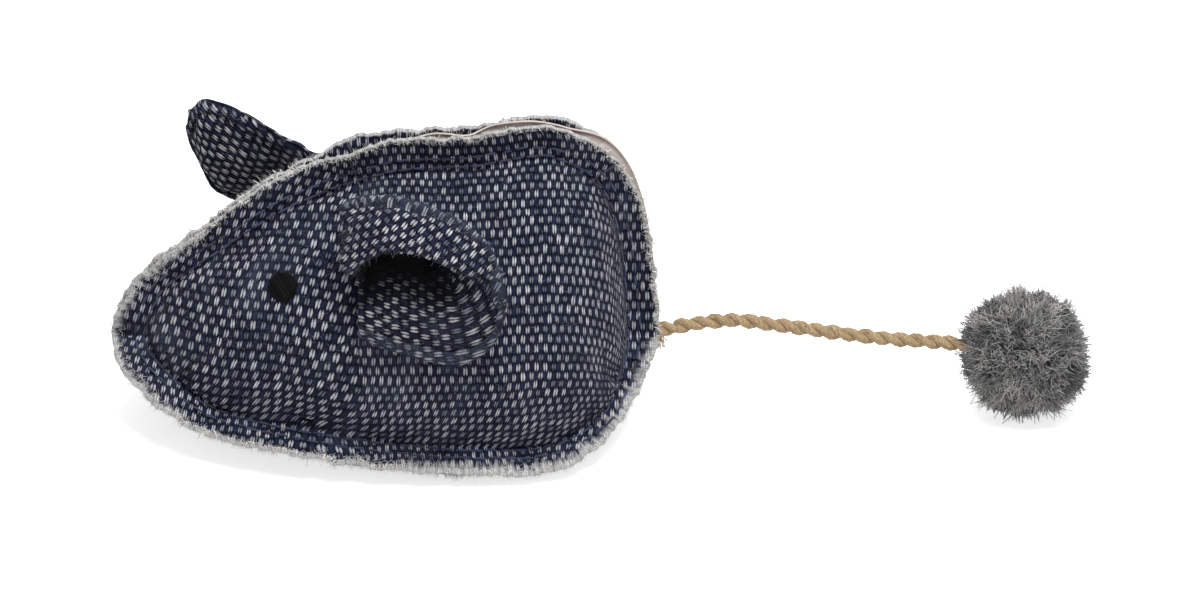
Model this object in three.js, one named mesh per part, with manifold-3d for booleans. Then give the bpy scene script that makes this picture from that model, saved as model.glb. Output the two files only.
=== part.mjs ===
// A catnip mouse: three cloth panels sewn with their seam edges outside and stuffed with fibre
// round a catnip sachet, two cloth ears, embroidered eyes, a twine tail and a yarn pompom.
// Millimetres, +Z up, nose toward -X. The origin is on the floor under the middle of the body.
import * as THREE from 'three';
import { mergeVertices } from 'three/addons/utils/BufferGeometryUtils.js';
import Module from 'manifold-3d';

const wasm = await Module();
wasm.setup();

// Driving dimensions of the stuffed body, taken at the seam lines
const seamLength = 87.2;
const spineHeight = 53;
const bellySeamWidth = 43;
const noseHeight = 16.5;
const rumpHeight = 17;
const seamAllowance = 7;
const clothThickness = 1;

// Clearances: between layers that touch, and a little more round the loose filling
const layerGap = 0.3;
const fillingSlack = 0.5;

// Profiles along the body at nine even steps of the station angle, from nose to rump.
// Heights follow the spine's height, widths follow the belly seam's width.
const spineRiseShares = [0, 0.24, 0.45, 0.725, 0.91, 0.955, 1, 0.74, 0];
const bellyDropShares = [0, 0.18, 0.43, 0.5, 0.6, 0.675, 0.68, 0.48, 0];
const keelDropShares = [0, 0.54, 0.9, 1.08, 1.12, 1.12, 1.09, 0.78, 0];

// Three places that touch the ground, each as a share of the angle from nose to rump and of the width;
// the rest of the flat belly is higher by restRelief
const restPlaces = [ [ 0.32, 0.5 ], [ 0.715, 0.2 ], [ 0.715, 0.8 ] ];
const restRelief = 0.03;
const bellyWidthShares = [0, 0.3, 0.63, 0.875, 0.98, 1, 0.9, 0.53, 0];
const sideBulgeShare = 0.225;

// How wide the seam allowance is left round the body, at the same nine steps
const spineAllowanceShares = [ 1, 0.8, 0.8, 0.95, 1, 1, 1, 0.88, 0.9 ];
const bellyAllowanceShares = [ 1, 1.02, 0.92, 0.88, 0.88, 0.86, 0.84, 0.6, 0.9 ];
const allowanceTilt = THREE.MathUtils.degToRad(25);

// Spine tape, a stay strip that stands a little proud of the seam allowance
const tapeThickness = 0.6;
const tapeProud = 1.2;
const tapeClearance = 1;
const tapeStartShare = 0.52;
const tapeEndShare = 0.965;

// Ears: two thin layers each, their base held in the dart seam
const earLayer = 0.9;
const earReach = 25.8;
const earRise = 18;
const earDrop = 12.8;
const earBaseStationShare = 0.468;
const earBaseArcShare = 0.43;
const earTilt = THREE.MathUtils.degToRad(60);
const earRimShare = 0.09;

// Left ear, folded back along the body: outline and rolled brim at even steps from base to tip
const earAlongShares = [0, 0.1, 0.275, 0.49, 0.715, 0.91, 1];
const earUpperShares = [0.58, 0.94, 1, 0.92, 0.75, 0.5, 0.2];
const earLowerShares = [0.64, 0.73, 0.83, 0.95, 1, 0.76, 0.2];
const brimHeight = 10;
const brimFoot = 1.4;
const brimLobe = 5.2;
const tipLift = 3.4;
const brimHeightShares = [0, 0.66, 1, 0.95, 0.62, 0.22, 0];
const brimFoldShares = [0, 0.5, 1, 0.85, 0.4, 0.05, 0];
const brimLobeShares = [0.2, 1, 0.7, 0.25, 0, 0, 0];

// The fold across the left ear, from its lower rim up to the upper rim
const foldAcrossShares = [-1, -0.745, -0.44, -0.12, 0.13, 0.38, 0.28, 0.1, 0.3, 0.72, 1];
const foldHeightShares = [0.07, 0, 0, 0, 0.04, 0.14, 0.47, 0.78, 1, 0.84, 0.42];

// Right ear, turned forward over the head: upper and lower edges from base to tip, as shares
// of its reach ahead of the base, of its own width outward and of the same width upward
const rightEarReach = 33.5;
const rightEarSpan = 10;
const rightEarCurl = 3;
const rightCurlShares = [-0.28, -0.2, 0.3, 0.9, 1, 0.7, 0];
const rightUpperShares = [
	[0, -0.5, 0.86], [0.3, -0.33, 0.8], [0.62, -0.04, 1.42], [0.88, 0.33, 1.64], [0.976, 0.51, 1.3],
];
const rightLowerShares = [
	[0.005, 0.5, -0.86], [0.2, 1.05, -1.12], [0.52, 1.12, -1], [0.81, 0.8, - 0.6], [0.992, 0.6, 0.88],
];

// Eyes
const eyeDiameter = 5;
const eyeThickness = 0.7;
const eyeStationShare = 0.358;
const eyeArcShare = 0.362;

// Tail: twine held in the rump seam, then free as far as the pompom
const twineDiameter = 2.7;
const rootLength = 18;
const rootProud = 2.05;
const rootKnotDiameter = 5.8;
const rootKnotLength = 5;
const tailReach = 61;
const twineSides = 8;
const twineSteps = 28;

// Route of the free twine from its pivot, in shares of its reach: along it, and up
const tailRouteShares = [
	[0.0269, 0.0057], [0.07, 0.0148], [0.145, 0.0255], [0.222, 0.0275], [0.313, 0.0135],
	[0.403, 0.001], [0.495, -0.0135], [0.587, -0.0265], [0.678, -0.0365], [0.755, -0.0425],
	[0.847, -0.05], [0.907, -0.0605], [0.9535, -0.0685], [1, -0.0765],
];

// Pompom, round the knot that ends the twine
const pompomDiameter = 23.4;
const pompomLift = 0.2;
const bindingDiameter = 5.2;
const bindingLength = 4.4;

// Filling and sachet
const sachetDiameter = 22;
const sachetThickness = 10;
const sachetHeight = 24;
const fillingInset = clothThickness + fillingSlack;

// Mesh fineness
const stations = 28;
const arcSteps = 11;
const allowanceSteps = 2;
const bellySteps = 10;
const bellyEnds = 2;
const fillingStations = 14;
const fillingArcSteps = 7;
const fillingBellySteps = 6;
const earRows = 14;
const earColumns = 20;
const roundSides = 24;

const twineRadius = twineDiameter / 2;
const seamHalfGap = tapeThickness / 2 + layerGap;
const tailChannel = twineRadius + layerGap - seamHalfGap;
const bodyHalf = seamLength / 2;
const earStack = 2 * earLayer + layerGap;
const tailPivot = new THREE.Vector3(
	bodyHalf + seamAllowance + rootProud - twineRadius, 0, rumpHeight );

const cloth = { color: 0x2b3550, roughness: 0.95, metalness: 0 };
const materials = {
	cloth: new THREE.MeshStandardMaterial( cloth ),
	earCloth: new THREE.MeshStandardMaterial( { ...cloth, color: 0x333d55 } ),
	tape: new THREE.MeshStandardMaterial( { color: 0x9a6a5c, roughness: 0.85, metalness: 0 } ),
	thread: new THREE.MeshStandardMaterial( { color: 0x14141a, roughness: 0.9, metalness: 0 } ),
	fibre: new THREE.MeshStandardMaterial( { color: 0xe8e6df, roughness: 1, metalness: 0 } ),
	herb: new THREE.MeshStandardMaterial( { color: 0x7d7a4a, roughness: 1, metalness: 0 } ),
	twine: new THREE.MeshStandardMaterial( { color: 0xa08a66, roughness: 0.9, metalness: 0 } ),
	yarn: new THREE.MeshStandardMaterial( { color: 0x6b6e74, roughness: 1, metalness: 0 } ),
};

const group = new THREE.Group();

function addMesh( name, geometry, material ) {

	const mesh = new THREE.Mesh( geometry, material );
	mesh.name = name;
	group.add( mesh );
	return mesh;

}

// Value of a profile at a share of the way along it, on a smooth curve through its shares
function profile( shares, along ) {

	const knots = shares.map( ( share, index ) => new THREE.Vector2( index, share ) );
	return new THREE.SplineCurve( knots ).getPoint( along ).y;

}

// Seam points and keel of the body at a station, as a share of the angle from nose to rump
function station( along ) {

	const poleHeight = THREE.MathUtils.lerp( noseHeight, rumpHeight, along );
	const rise = profile( spineRiseShares, along ) * ( spineHeight - poleHeight );
	return {
		x: - bodyHalf * Math.cos( Math.PI * along ),
		spine: poleHeight + rise,
		belly: poleHeight * ( 1 - profile( bellyDropShares, along ) ),
		keel: poleHeight * ( 1 - profile( keelDropShares, along ) ),
		halfWidth: profile( bellyWidthShares, along ) * bellySeamWidth / 2,
	};

}

// How far a layer stands from the middle plane, wider where the tail passes between the layers
function middleOffset( along ) {

	const nearRump = THREE.MathUtils.smoothstep( along, 1 - 2 / stations, 1 );
	return seamHalfGap + clothThickness + tailChannel * nearRump;

}

// Point on the circle through two seam points of a section, drawn in by an inset.
// Sections lie across the body, and both seam points and the result are [ y, z ].
function arcPoint( from, to, bulgeShare, share, inset = 0 ) {

	const chord = new THREE.Vector2().subVectors( to, from );
	const length = chord.length();
	if ( length === 0 ) return from.clone();
	const sag = bulgeShare * length;
	const radius = ( length * length / 4 + sag * sag ) / ( 2 * sag );
	const halfAngle = Math.asin( length / 2 / radius );
	const angle = THREE.MathUtils.lerp( - halfAngle, halfAngle, share );
	const outward = new THREE.Vector2( chord.y, - chord.x ).normalize();
	const centre = new THREE.Vector2().addVectors( from, to ).multiplyScalar( 0.5 )
		.addScaledVector( outward, - radius * Math.cos( halfAngle ) );
	const reach = Math.max( radius - inset, 0 );
	return centre.addScaledVector( chord.normalize(), reach * Math.sin( angle ) )
		.addScaledVector( outward, reach * Math.cos( angle ) );

}

// Outer surface of the left side panel at a station and a share of its arc, spine to belly
function sidePoint( along, share ) {

	const seam = station( along );
	const offset = middleOffset( along );
	const from = new THREE.Vector2( - offset, seam.spine );
	const to = new THREE.Vector2( - offset - seam.halfWidth, seam.belly );
	const point = arcPoint( from, to, sideBulgeShare, share );
	return new THREE.Vector3( seam.x, point.x, point.y );

}

// Frame on the side panel: right along the body, up along the section, and out of the cloth
function sideFrame( along, share ) {

	const step = 1e-3;
	const origin = sidePoint( along, share );
	const up = sidePoint( along, share - step ).sub( sidePoint( along, share + step ) ).normalize();
	const ahead = sidePoint( along + step, share ).sub( sidePoint( along - step, share ) );
	const out = new THREE.Vector3().crossVectors( ahead, up ).normalize();
	const right = new THREE.Vector3().crossVectors( up, out );
	return { origin, right, up, out };

}

// Surface as a list of points and a list of triangles
function surface() {

	return { points: [], faces: [] };

}

function addQuad( faces, a, b, c, d ) {

	if ( a !== b && b !== c && c !== a ) faces.push( [ a, b, c ] );
	if ( a !== c && c !== d && d !== a ) faces.push( [ a, c, d ] );

}

// For each point, the vector that moves all faces round it by one unit along their normals
function offsetVectors( { points, faces } ) {

	const sums = points.map( () => ( {
		normal: new THREE.Vector3(),
		spread: new THREE.Matrix3().set( 0, 0, 0, 0, 0, 0, 0, 0, 0 ),
	} ) );
	for ( const face of faces ) {

		const [ a, b, c ] = face.map( ( index ) => points[ index ] );
		const normal = new THREE.Vector3().crossVectors(
			b.clone().sub( a ), c.clone().sub( a ) );
		if ( normal.lengthSq() === 0 ) continue;
		normal.normalize();
		const n = normal.toArray();
		for ( const index of face ) {

			sums[ index ].normal.add( normal );
			const e = sums[ index ].spread.elements;
			for ( let i = 0; i < 9; i ++ ) e[ i ] += n[ i % 3 ] * n[ Math.floor( i / 3 ) ];

		}

	}

	const softening = 0.08;
	return sums.map( ( { normal, spread } ) => {

		// Least squares with a pull toward the mean normal, so that flat spots stay stable
		const trace = spread.elements[ 0 ] + spread.elements[ 4 ] + spread.elements[ 8 ];
		const weight = softening * Math.max( trace, softening );
		const mean = normal.clone().normalize();
		const e = spread.elements;
		e[ 0 ] += weight;
		e[ 4 ] += weight;
		e[ 8 ] += weight;
		return normal.clone().addScaledVector( mean, weight ).applyMatrix3( spread.invert() );

	} );

}

// The surface moved against its normals
function sunk( sheet, depth ) {

	const vectors = offsetVectors( sheet );
	return {
		points: sheet.points.map( ( point, index ) => point.clone().addScaledVector( vectors[ index ], - depth ) ),
		faces: sheet.faces,
	};

}

// Closed cloth layer: the surface, its copy one thickness behind, and walls along open edges
function clothLayer( front, thickness ) {

	const back = sunk( front, thickness );
	const count = front.points.length;
	const faces = [ ...front.faces ];
	const edges = new Map();
	for ( const [ a, b, c ] of front.faces ) {

		faces.push( [ a + count, c + count, b + count ] );
		for ( const [ from, to ] of [ [ a, b ], [ b, c ], [ c, a ] ] ) {

			edges.set( `${ from } ${ to }`, [ from, to ] );

		}

	}

	for ( const [ from, to ] of edges.values() ) {

		if ( edges.has( `${ to } ${ from }` ) ) continue;
		addQuad( faces, from, from + count, to + count, to );

	}

	return geometryOf( { points: [ ...front.points, ...back.points ], faces } );

}

function geometryOf( { points, faces } ) {

	const geometry = new THREE.BufferGeometry();
	const coordinates = points.flatMap( ( point ) => point.toArray() );
	geometry.setAttribute( 'position', new THREE.Float32BufferAttribute( coordinates, 3 ) );
	geometry.setIndex( faces.flat() );
	return geometry;

}

function mirrored( { points, faces } ) {

	return {
		points: points.map( ( p ) => new THREE.Vector3( p.x, - p.y, p.z ) ),
		faces: faces.map( ( [ a, b, c ] ) => [ a, c, b ] ),
	};

}

function allowanceWidth( along, onSpine ) {

	return seamAllowance * profile( onSpine ? spineAllowanceShares : bellyAllowanceShares, along );

}

// Direction in which the seam allowance stands out from the seam line
function allowanceDirection( along, onSpine ) {

	const step = 1e-3;
	const before = station( Math.max( along - step, 0 ) );
	const after = station( Math.min( along + step, 1 ) );
	const ahead = after.x - before.x;
	const rise = onSpine ? after.spine - before.spine : after.halfWidth - before.halfWidth;
	const size = Math.hypot( ahead, rise );
	if ( onSpine ) return new THREE.Vector3( - rise / size, 0, ahead / size );
	const tilt = allowanceTilt * Math.sqrt( Math.sin( Math.PI * along ) );
	return new THREE.Vector3(
		- rise / size * Math.cos( tilt ), - ahead / size * Math.cos( tilt ), - Math.sin( tilt ) );

}

// Left side panel: the swollen side, then the flat seam allowance round it.
// Returns the surface and the rows of indices that other pieces follow.
function sidePanelSurface() {

	const sheet = surface();
	const rows = [];
	for ( let i = 0; i <= stations; i ++ ) {

		const along = i / stations;
		const pole = i === 0 || i === stations;
		const row = [];
		for ( let j = 0; j <= arcSteps; j ++ ) {

			if ( pole && j > 0 ) {

				row.push( row[ 0 ] );
				continue;

			}

			row.push( sheet.points.push( sidePoint( along, j / arcSteps ) ) - 1 );

		}

		rows.push( row );
		if ( i === 0 ) continue;
		for ( let j = 0; j < arcSteps; j ++ ) {

			addQuad( sheet.faces, rows[ i - 1 ][ j ], rows[ i - 1 ][ j + 1 ], row[ j + 1 ], row[ j ] );

		}

	}

	const loop = [];
	for ( let i = 0; i < stations; i ++ ) {

		loop.push( { along: i / stations, onSpine: true, index: rows[ i ][ 0 ] } );

	}

	for ( let i = stations; i > 0; i -- ) {

		loop.push( { along: i / stations, onSpine: i === stations, index: rows[ i ][ arcSteps ] } );

	}

	let inner = loop.map( ( item ) => item.index );
	const edgeRows = [ inner ];
	for ( let k = 1; k <= allowanceSteps; k ++ ) {

		const outer = loop.map( ( { along, onSpine, index } ) => sheet.points.push(
			sheet.points[ index ].clone().addScaledVector( allowanceDirection( along, onSpine ),
				allowanceWidth( along, onSpine ) * k / allowanceSteps ) ) - 1 );
		for ( let i = 0; i < loop.length; i ++ ) {

			const next = ( i + 1 ) % loop.length;
			addQuad( sheet.faces, inner[ i ], inner[ next ], outer[ next ], outer[ i ] );

		}

		edgeRows.push( outer );
		inner = outer;

	}

	return { sheet, rows, edgeRows };

}

// Upper face of the belly panel across one station, between the seams of the side panels
function bellySection( under, edgeRows, index, steps ) {

	const { keel } = station( index / stations );
	const seam = under.points[ edgeRows[ 0 ][ ( 2 * stations - index ) % ( 2 * stations ) ] ];
	const from = new THREE.Vector2( seam.y, seam.z );
	const to = new THREE.Vector2( - seam.y, seam.z );
	const sag = Math.max( seam.z - keel - clothThickness, layerGap );
	return Array.from( { length: steps + 1 }, ( _, j ) => {

		const point = arcPoint( from, to, sag / ( to.x - from.x ), j / steps );
		const rests = restPlaces.some( ( [ place, across ] ) =>
			Math.round( place * stations ) === index && Math.round( across * steps ) === j );
		const lowest = clothThickness + ( rests ? 0 : restRelief );
		return new THREE.Vector3( seam.x, point.x, Math.max( point.y, lowest ) );

	} );

}

// Belly panel, upper face: its seam lines and allowances lie just under those of the side panels
function bellySurface( { sheet, edgeRows } ) {

	const under = sunk( sheet, clothThickness + layerGap );
	const belly = surface();
	const taper = 5 / stations;
	const end = bellyEnds / stations;
	const rings = [];
	for ( let i = bellyEnds; i <= stations - bellyEnds; i ++ ) {

		const along = i / stations;
		const seam = under.points[ edgeRows[ 0 ][ 2 * stations - i ] ];
		const trim = THREE.MathUtils.smoothstep( Math.min( along, 1 - along ), end / 2, taper );
		const left = [];
		for ( let k = allowanceSteps; k > 0; k -- ) {

			left.push( seam.clone().lerp( under.points[ edgeRows[ k ][ 2 * stations - i ] ], trim ) );

		}

		const right = left.map( ( point ) => new THREE.Vector3( point.x, - point.y, point.z ) ).reverse();
		const ring = [ ...left, ...bellySection( under, edgeRows, i, bellySteps ), ...right ];
		rings.push( ring.map( ( point ) => belly.points.push( point ) - 1 ) );

	}

	for ( let i = 1; i < rings.length; i ++ ) {

		for ( let j = 0; j < rings[ i ].length - 1; j ++ ) {

			const before = rings[ i - 1 ];
			addQuad( belly.faces, before[ j ], rings[ i ][ j ], rings[ i ][ j + 1 ], before[ j + 1 ] );

		}

	}

	return belly;

}

function solidOf( geometry ) {

	const bare = geometry.clone();
	bare.deleteAttribute( 'normal' );
	bare.deleteAttribute( 'uv' );
	const merged = mergeVertices( bare );
	return new wasm.Manifold( new wasm.Mesh( {
		numProp: 3,
		vertProperties: new Float32Array( merged.attributes.position.array ),
		triVerts: new Uint32Array( merged.index.array ),
	} ) );

}

function geometryOfSolid( solid ) {

	const mesh = solid.getMesh();
	const geometry = new THREE.BufferGeometry();
	const coordinates = new Float32Array( mesh.vertProperties );
	geometry.setAttribute( 'position', new THREE.BufferAttribute( coordinates, 3 ) );
	geometry.setIndex( new THREE.BufferAttribute( new Uint32Array( mesh.triVerts ), 1 ) );
	return geometry;

}

// Revolved shape about the X axis from [ distance along X, radius ] pairs
function turned( outline, sides ) {

	const points = outline.map( ( [ x, radius ] ) => new THREE.Vector2( radius, x ) );
	return new THREE.LatheGeometry( points, sides ).rotateZ( - Math.PI / 2 );

}

// Half an ellipse as an outline for turned()
function lensOutline( thickness, diameter, steps ) {

	const outline = [];
	for ( let i = 0; i <= steps; i ++ ) {

		const angle = Math.PI * i / steps;
		outline.push( [ - thickness / 2 * Math.cos( angle ), i % steps ? diameter / 2 * Math.sin( angle ) : 0 ] );

	}

	return outline;

}

// Closed surface of the whole stuffed body, coarse, with belly points on the panel's lower face
function bodySurface( { sheet, edgeRows } ) {

	const under = sunk( sheet, clothThickness + layerGap );
	const body = surface();
	const stride = stations / fillingStations;
	const rings = [];
	for ( let i = 0; i <= fillingStations; i ++ ) {

		const along = i / fillingStations;
		const pole = i === 0 || i === fillingStations;
		const left = [];
		const sideSteps = pole ? 0 : fillingArcSteps;
		for ( let j = 0; j <= sideSteps; j ++ ) left.push( sidePoint( along, j / fillingArcSteps ) );
		const bottom = bellySection( under, edgeRows, i * stride, fillingBellySteps )
			.map( ( point ) => point.setZ( point.z - clothThickness ) ).slice( 1, - 1 );
		const right = left.map( ( point ) => new THREE.Vector3( point.x, - point.y, point.z ) ).reverse();
		const ring = pole ? [ ...left, ...right ] : [ ...left, ...bottom, ...right ];
		const indices = ring.map( ( point ) => body.points.push( point ) - 1 );
		const count = 2 * ( fillingArcSteps + 1 ) + fillingBellySteps - 1;
		const folded = Array.from( { length: count }, ( _, j ) => indices[ j < count / 2 ? 0 : 1 ] );
		rings.push( pole ? folded : indices );
		if ( i === 0 ) continue;
		for ( let j = 0; j < count; j ++ ) {

			const next = ( j + 1 ) % count;
			addQuad( body.faces, rings[ i - 1 ][ j ], rings[ i - 1 ][ next ], rings[ i ][ next ], rings[ i ][ j ] );

		}

	}

	return body;

}

// Height of the left side panel over the ear's plane, at a place given along the body and up
function panelHeight( ear, along, up ) {

	const x = ear.origin.x + along;
	const stationShare = Math.acos( - x / bodyHalf ) / Math.PI;
	const target = ear.origin.dot( ear.up ) + up;
	let high = 0;
	let low = 1;
	for ( let step = 0; step < 24; step ++ ) {

		const middle = ( high + low ) / 2;
		if ( sidePoint( stationShare, middle ).dot( ear.up ) > target ) high = middle;
		else low = middle;

	}

	return sidePoint( stationShare, low ).sub( ear.origin ).dot( ear.out );

}

// Plane of the left ear: along the body, up across the ear, and out from the body
const leftEar = {
	origin: sidePoint( earBaseStationShare, earBaseArcShare ),
	up: new THREE.Vector3( 0, Math.cos( earTilt ), Math.sin( earTilt ) ),
	out: new THREE.Vector3( 0, - Math.sin( earTilt ), Math.cos( earTilt ) ),
};

// Front face of the left ear: along from base to tip, across from the lower rim to the upper
function leftEarPoint( along, across ) {

	const fold = profile( brimFoldShares, along );
	const even = 2 * across - 1;
	const place = THREE.MathUtils.lerp( even, profile( foldAcrossShares, across ), fold );
	const top = earRise * profile( earUpperShares, along );
	const bottom = - earDrop * profile( earLowerShares, along );
	const up = THREE.MathUtils.lerp( bottom, top, ( place + 1 ) / 2 );
	const brim = THREE.MathUtils.smoothstep( across, 0.3, 0.62 );
	const ahead = earReach * profile( earAlongShares, along )
		- brimLobe * profile( brimLobeShares, along ) * THREE.MathUtils.smoothstep( across, 0.5, 0.8 );
	const follow = THREE.MathUtils.lerp( 1, ( 1 - brim ) / 2, Math.min( along / 0.2, 1 ) );
	const ground = Math.max( panelHeight( leftEar, ahead, up * follow ), panelHeight( leftEar, ahead, up ) );
	const stand = THREE.MathUtils.lerp( earStack + 3 * layerGap, brimFoot,
		brim * ( 1 - Math.min( along / 0.1, 1 ) ) );
	const out = ground + stand + tipLift * along * along
		+ brimHeight * profile( brimHeightShares, along ) * profile( foldHeightShares, across );
	return leftEar.origin.clone().addScaledVector( new THREE.Vector3( 1, 0, 0 ), ahead )
		.addScaledVector( leftEar.up, up ).addScaledVector( leftEar.out, out );

}

// Face of the right ear that turns toward the spine, from base to tip and upper to lower edge
function rightEarPoint( along, across ) {

	const base = sidePoint( earBaseStationShare, earBaseArcShare );
	const edge = ( shares ) => {

		const pick = ( axis ) => profile( shares.map( ( share ) => share[ axis ] ), along );
		return new THREE.Vector3( base.x - rightEarReach * pick( 0 ),
			- base.y + rightEarSpan * pick( 1 ), base.z + rightEarSpan * pick( 2 ) );

	};

	const lower = edge( rightLowerShares );
	const upper = edge( rightUpperShares );
	const width = new THREE.Vector3().subVectors( upper, lower );
	const bulge = new THREE.Vector3().crossVectors( new THREE.Vector3( 1, 0, 0 ), width ).normalize();
	const curl = rightEarCurl * profile( rightCurlShares, along ) * Math.sin( Math.PI * across );
	return lower.addScaledVector( width, 1 - across ).addScaledVector( bulge, curl );

}

// Grid surface over part of an ear
function earSurface( pointAt, alongEnd, acrossStart, acrossEnd ) {

	const sheet = surface();
	let previous;
	for ( let i = 0; i <= earRows; i ++ ) {

		const along = alongEnd * i / earRows;
		const row = [];
		for ( let j = 0; j <= earColumns; j ++ ) {

			const across = THREE.MathUtils.lerp( acrossStart, acrossEnd, j / earColumns );
			row.push( sheet.points.push( pointAt( along, across ) ) - 1 );

		}

		if ( previous ) {

			for ( let j = 0; j < earColumns; j ++ ) {

				addQuad( sheet.faces, previous[ j ], row[ j ], row[ j + 1 ], previous[ j + 1 ] );

			}


		}

		previous = row;

	}

	return sheet;

}

// Side panels, belly panel and the stay tape in the spine seam
const sidePanel = sidePanelSurface();
addMesh( 'side_panel_left', clothLayer( sidePanel.sheet, clothThickness ), materials.cloth );
addMesh( 'side_panel_right', clothLayer( mirrored( sidePanel.sheet ), clothThickness ), materials.cloth );
addMesh( 'belly_panel', clothLayer( bellySurface( sidePanel ), clothThickness ), materials.cloth );

const tape = surface();
const tapeRows = [];
for ( let i = 0; i <= stations; i ++ ) {

	const along = THREE.MathUtils.lerp( tapeStartShare, tapeEndShare, i / stations );
	const seam = station( along );
	const direction = allowanceDirection( along, true );
	const tapeEdge = allowanceWidth( along, true ) + tapeProud;
	const row = [ tapeClearance, tapeEdge ].map( ( width ) => {

		const middle = new THREE.Vector3( seam.x, - tapeThickness / 2, seam.spine );
		return tape.points.push( middle.addScaledVector( direction, width ) ) - 1;

	} );
	if ( i > 0 ) {

		const before = tapeRows[ i - 1 ];
		addQuad( tape.faces, before[ 0 ], row[ 0 ], row[ 1 ], before[ 1 ] );

	}

	tapeRows.push( row );

}


addMesh( 'spine_tape', clothLayer( tape, tapeThickness ), materials.tape );

// Tail root: knot, shaft through the rump seam and a round end, turned about the X axis
const rootEnd = tailPivot.x + twineRadius;
const rootStart = rootEnd - rootLength;
function knotOutline( centre, length, diameter, from, to, steps ) {

	return Array.from( { length: steps + 1 }, ( _, i ) => {

		const angle = THREE.MathUtils.lerp( from, to, i / steps );
		return [ centre - length / 2 * Math.cos( angle ), diameter / 2 * Math.sin( angle ) ];

	} );

}

const neckAngle = Math.PI - Math.asin( twineDiameter / rootKnotDiameter );
const rootKnotCentre = rootStart + rootKnotLength / 2;
const rootOutline = knotOutline( rootKnotCentre, rootKnotLength, rootKnotDiameter, 0, neckAngle, 6 );
rootOutline[ 0 ][ 1 ] = 0;
rootOutline.push( ...knotOutline( tailPivot.x, twineDiameter, twineDiameter, Math.PI / 2, Math.PI, 4 ) );
rootOutline[ rootOutline.length - 1 ][ 1 ] = 0;
addMesh( 'tail_root', turned( rootOutline, roundSides / 2 ).translate( 0, 0, rumpHeight ), materials.twine );

// Fillings round the sachet, with room for the tail root
const block = ( from, to ) => new THREE.BoxGeometry( to - from, 4 * bodyHalf, 4 * bodyHalf )
	.translate( ( from + to ) / 2, 0, 0 );
const lens = ( thickness, diameter ) => turned( lensOutline( thickness, diameter, 8 ), roundSides )
	.rotateY( Math.PI / 2 ).translate( 0, 0, sachetHeight );
const filling = solidOf( geometryOf( sunk( bodySurface( sidePanel ), fillingInset ) ) )
	.subtract( solidOf( lens( sachetThickness + 2 * layerGap, sachetDiameter + 2 * layerGap ) ) );
const knotRoomLength = rootKnotLength + 2 * layerGap;
const knotRoomDiameter = rootKnotDiameter + 2 * layerGap;
const rootRoom = [
	...knotOutline( rootKnotCentre, knotRoomLength, knotRoomDiameter, 0, neckAngle, 8 ),
	[ rootEnd, twineRadius + layerGap ],
	[ rootEnd, 0 ],
];
rootRoom[ 0 ][ 1 ] = 0;
const rootSpace = solidOf( turned( rootRoom, roundSides ).translate( 0, 0, rumpHeight ) );
const front = filling.subtract( solidOf( block( - layerGap / 2, 2 * bodyHalf ) ) );
const rear = filling.subtract( solidOf( block( - 2 * bodyHalf, layerGap / 2 ) ) ).subtract( rootSpace );
addMesh( 'filling_front', geometryOfSolid( front ), materials.fibre );
addMesh( 'filling_rear', geometryOfSolid( rear ), materials.fibre );
addMesh( 'catnip_sachet', lens( sachetThickness, sachetDiameter ), materials.herb );

// Ears
const leftFull = earSurface( leftEarPoint, 1, 0, 1 );
const leftInner = earSurface( leftEarPoint, 1 - earRimShare, earRimShare / 4, 1 - earRimShare );
addMesh( 'ear_left_front', clothLayer( leftInner, earLayer ), materials.earCloth );
const leftBack = sunk( leftFull, earLayer + layerGap );
addMesh( 'ear_left_back', clothLayer( leftBack, earLayer ), materials.earCloth );
const rightFull = earSurface( rightEarPoint, 1, 0, 1 );
const rightInner = earSurface( rightEarPoint, 1 - earRimShare, earRimShare, 1 - earRimShare );
addMesh( 'ear_right_front', clothLayer( rightInner, earLayer ), materials.earCloth );
const rightBack = sunk( rightFull, earLayer + layerGap );
addMesh( 'ear_right_back', clothLayer( rightBack, earLayer ), materials.earCloth );

// Eyes
const eyeOutline = [
	[ 0, 0 ], [ 0, 0.42 * eyeDiameter ], [ 0.35 * eyeThickness, 0.5 * eyeDiameter ],
	[ 0.8 * eyeThickness, 0.4 * eyeDiameter ], [ eyeThickness, 0.2 * eyeDiameter ], [ eyeThickness, 0 ],
];
for ( const [ name, side ] of [ [ 'eye_left', 1 ], [ 'eye_right', - 1 ] ] ) {

	// The right eye is the left one mirrored in the middle plane, with its turned axes kept
	const { origin, right, up, out } = sideFrame( eyeStationShare, eyeArcShare );
	const place = origin.clone().addScaledVector( out, layerGap );
	for ( const vector of [ place, right, up, out ] ) vector.y *= side;
	const basis = new THREE.Matrix4().makeBasis( out, right.multiplyScalar( side ), up ).setPosition( place );
	addMesh( name, turned( eyeOutline, roundSides ).applyMatrix4( basis ), materials.thread );

}

// Free twine, knot and pompom
const routePoints = tailRouteShares.map( ( [ along, up ] ) => new THREE.Vector3(
	tailPivot.x + tailReach * along, 0, tailPivot.z + tailReach * up ) );
const route = new THREE.CatmullRomCurve3( routePoints, false, 'centripetal' );
const section = new THREE.Shape( Array.from( { length: twineSides }, ( _, i ) => {

	const angle = 2 * Math.PI * i / twineSides;
	return new THREE.Vector2( twineRadius * Math.cos( angle ), twineRadius * Math.sin( angle ) );

} ) );
const alongRoute = { steps: twineSteps, bevelEnabled: false, extrudePath: route };
addMesh( 'tail_cord', new THREE.ExtrudeGeometry( section, alongRoute ), materials.twine );

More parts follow.
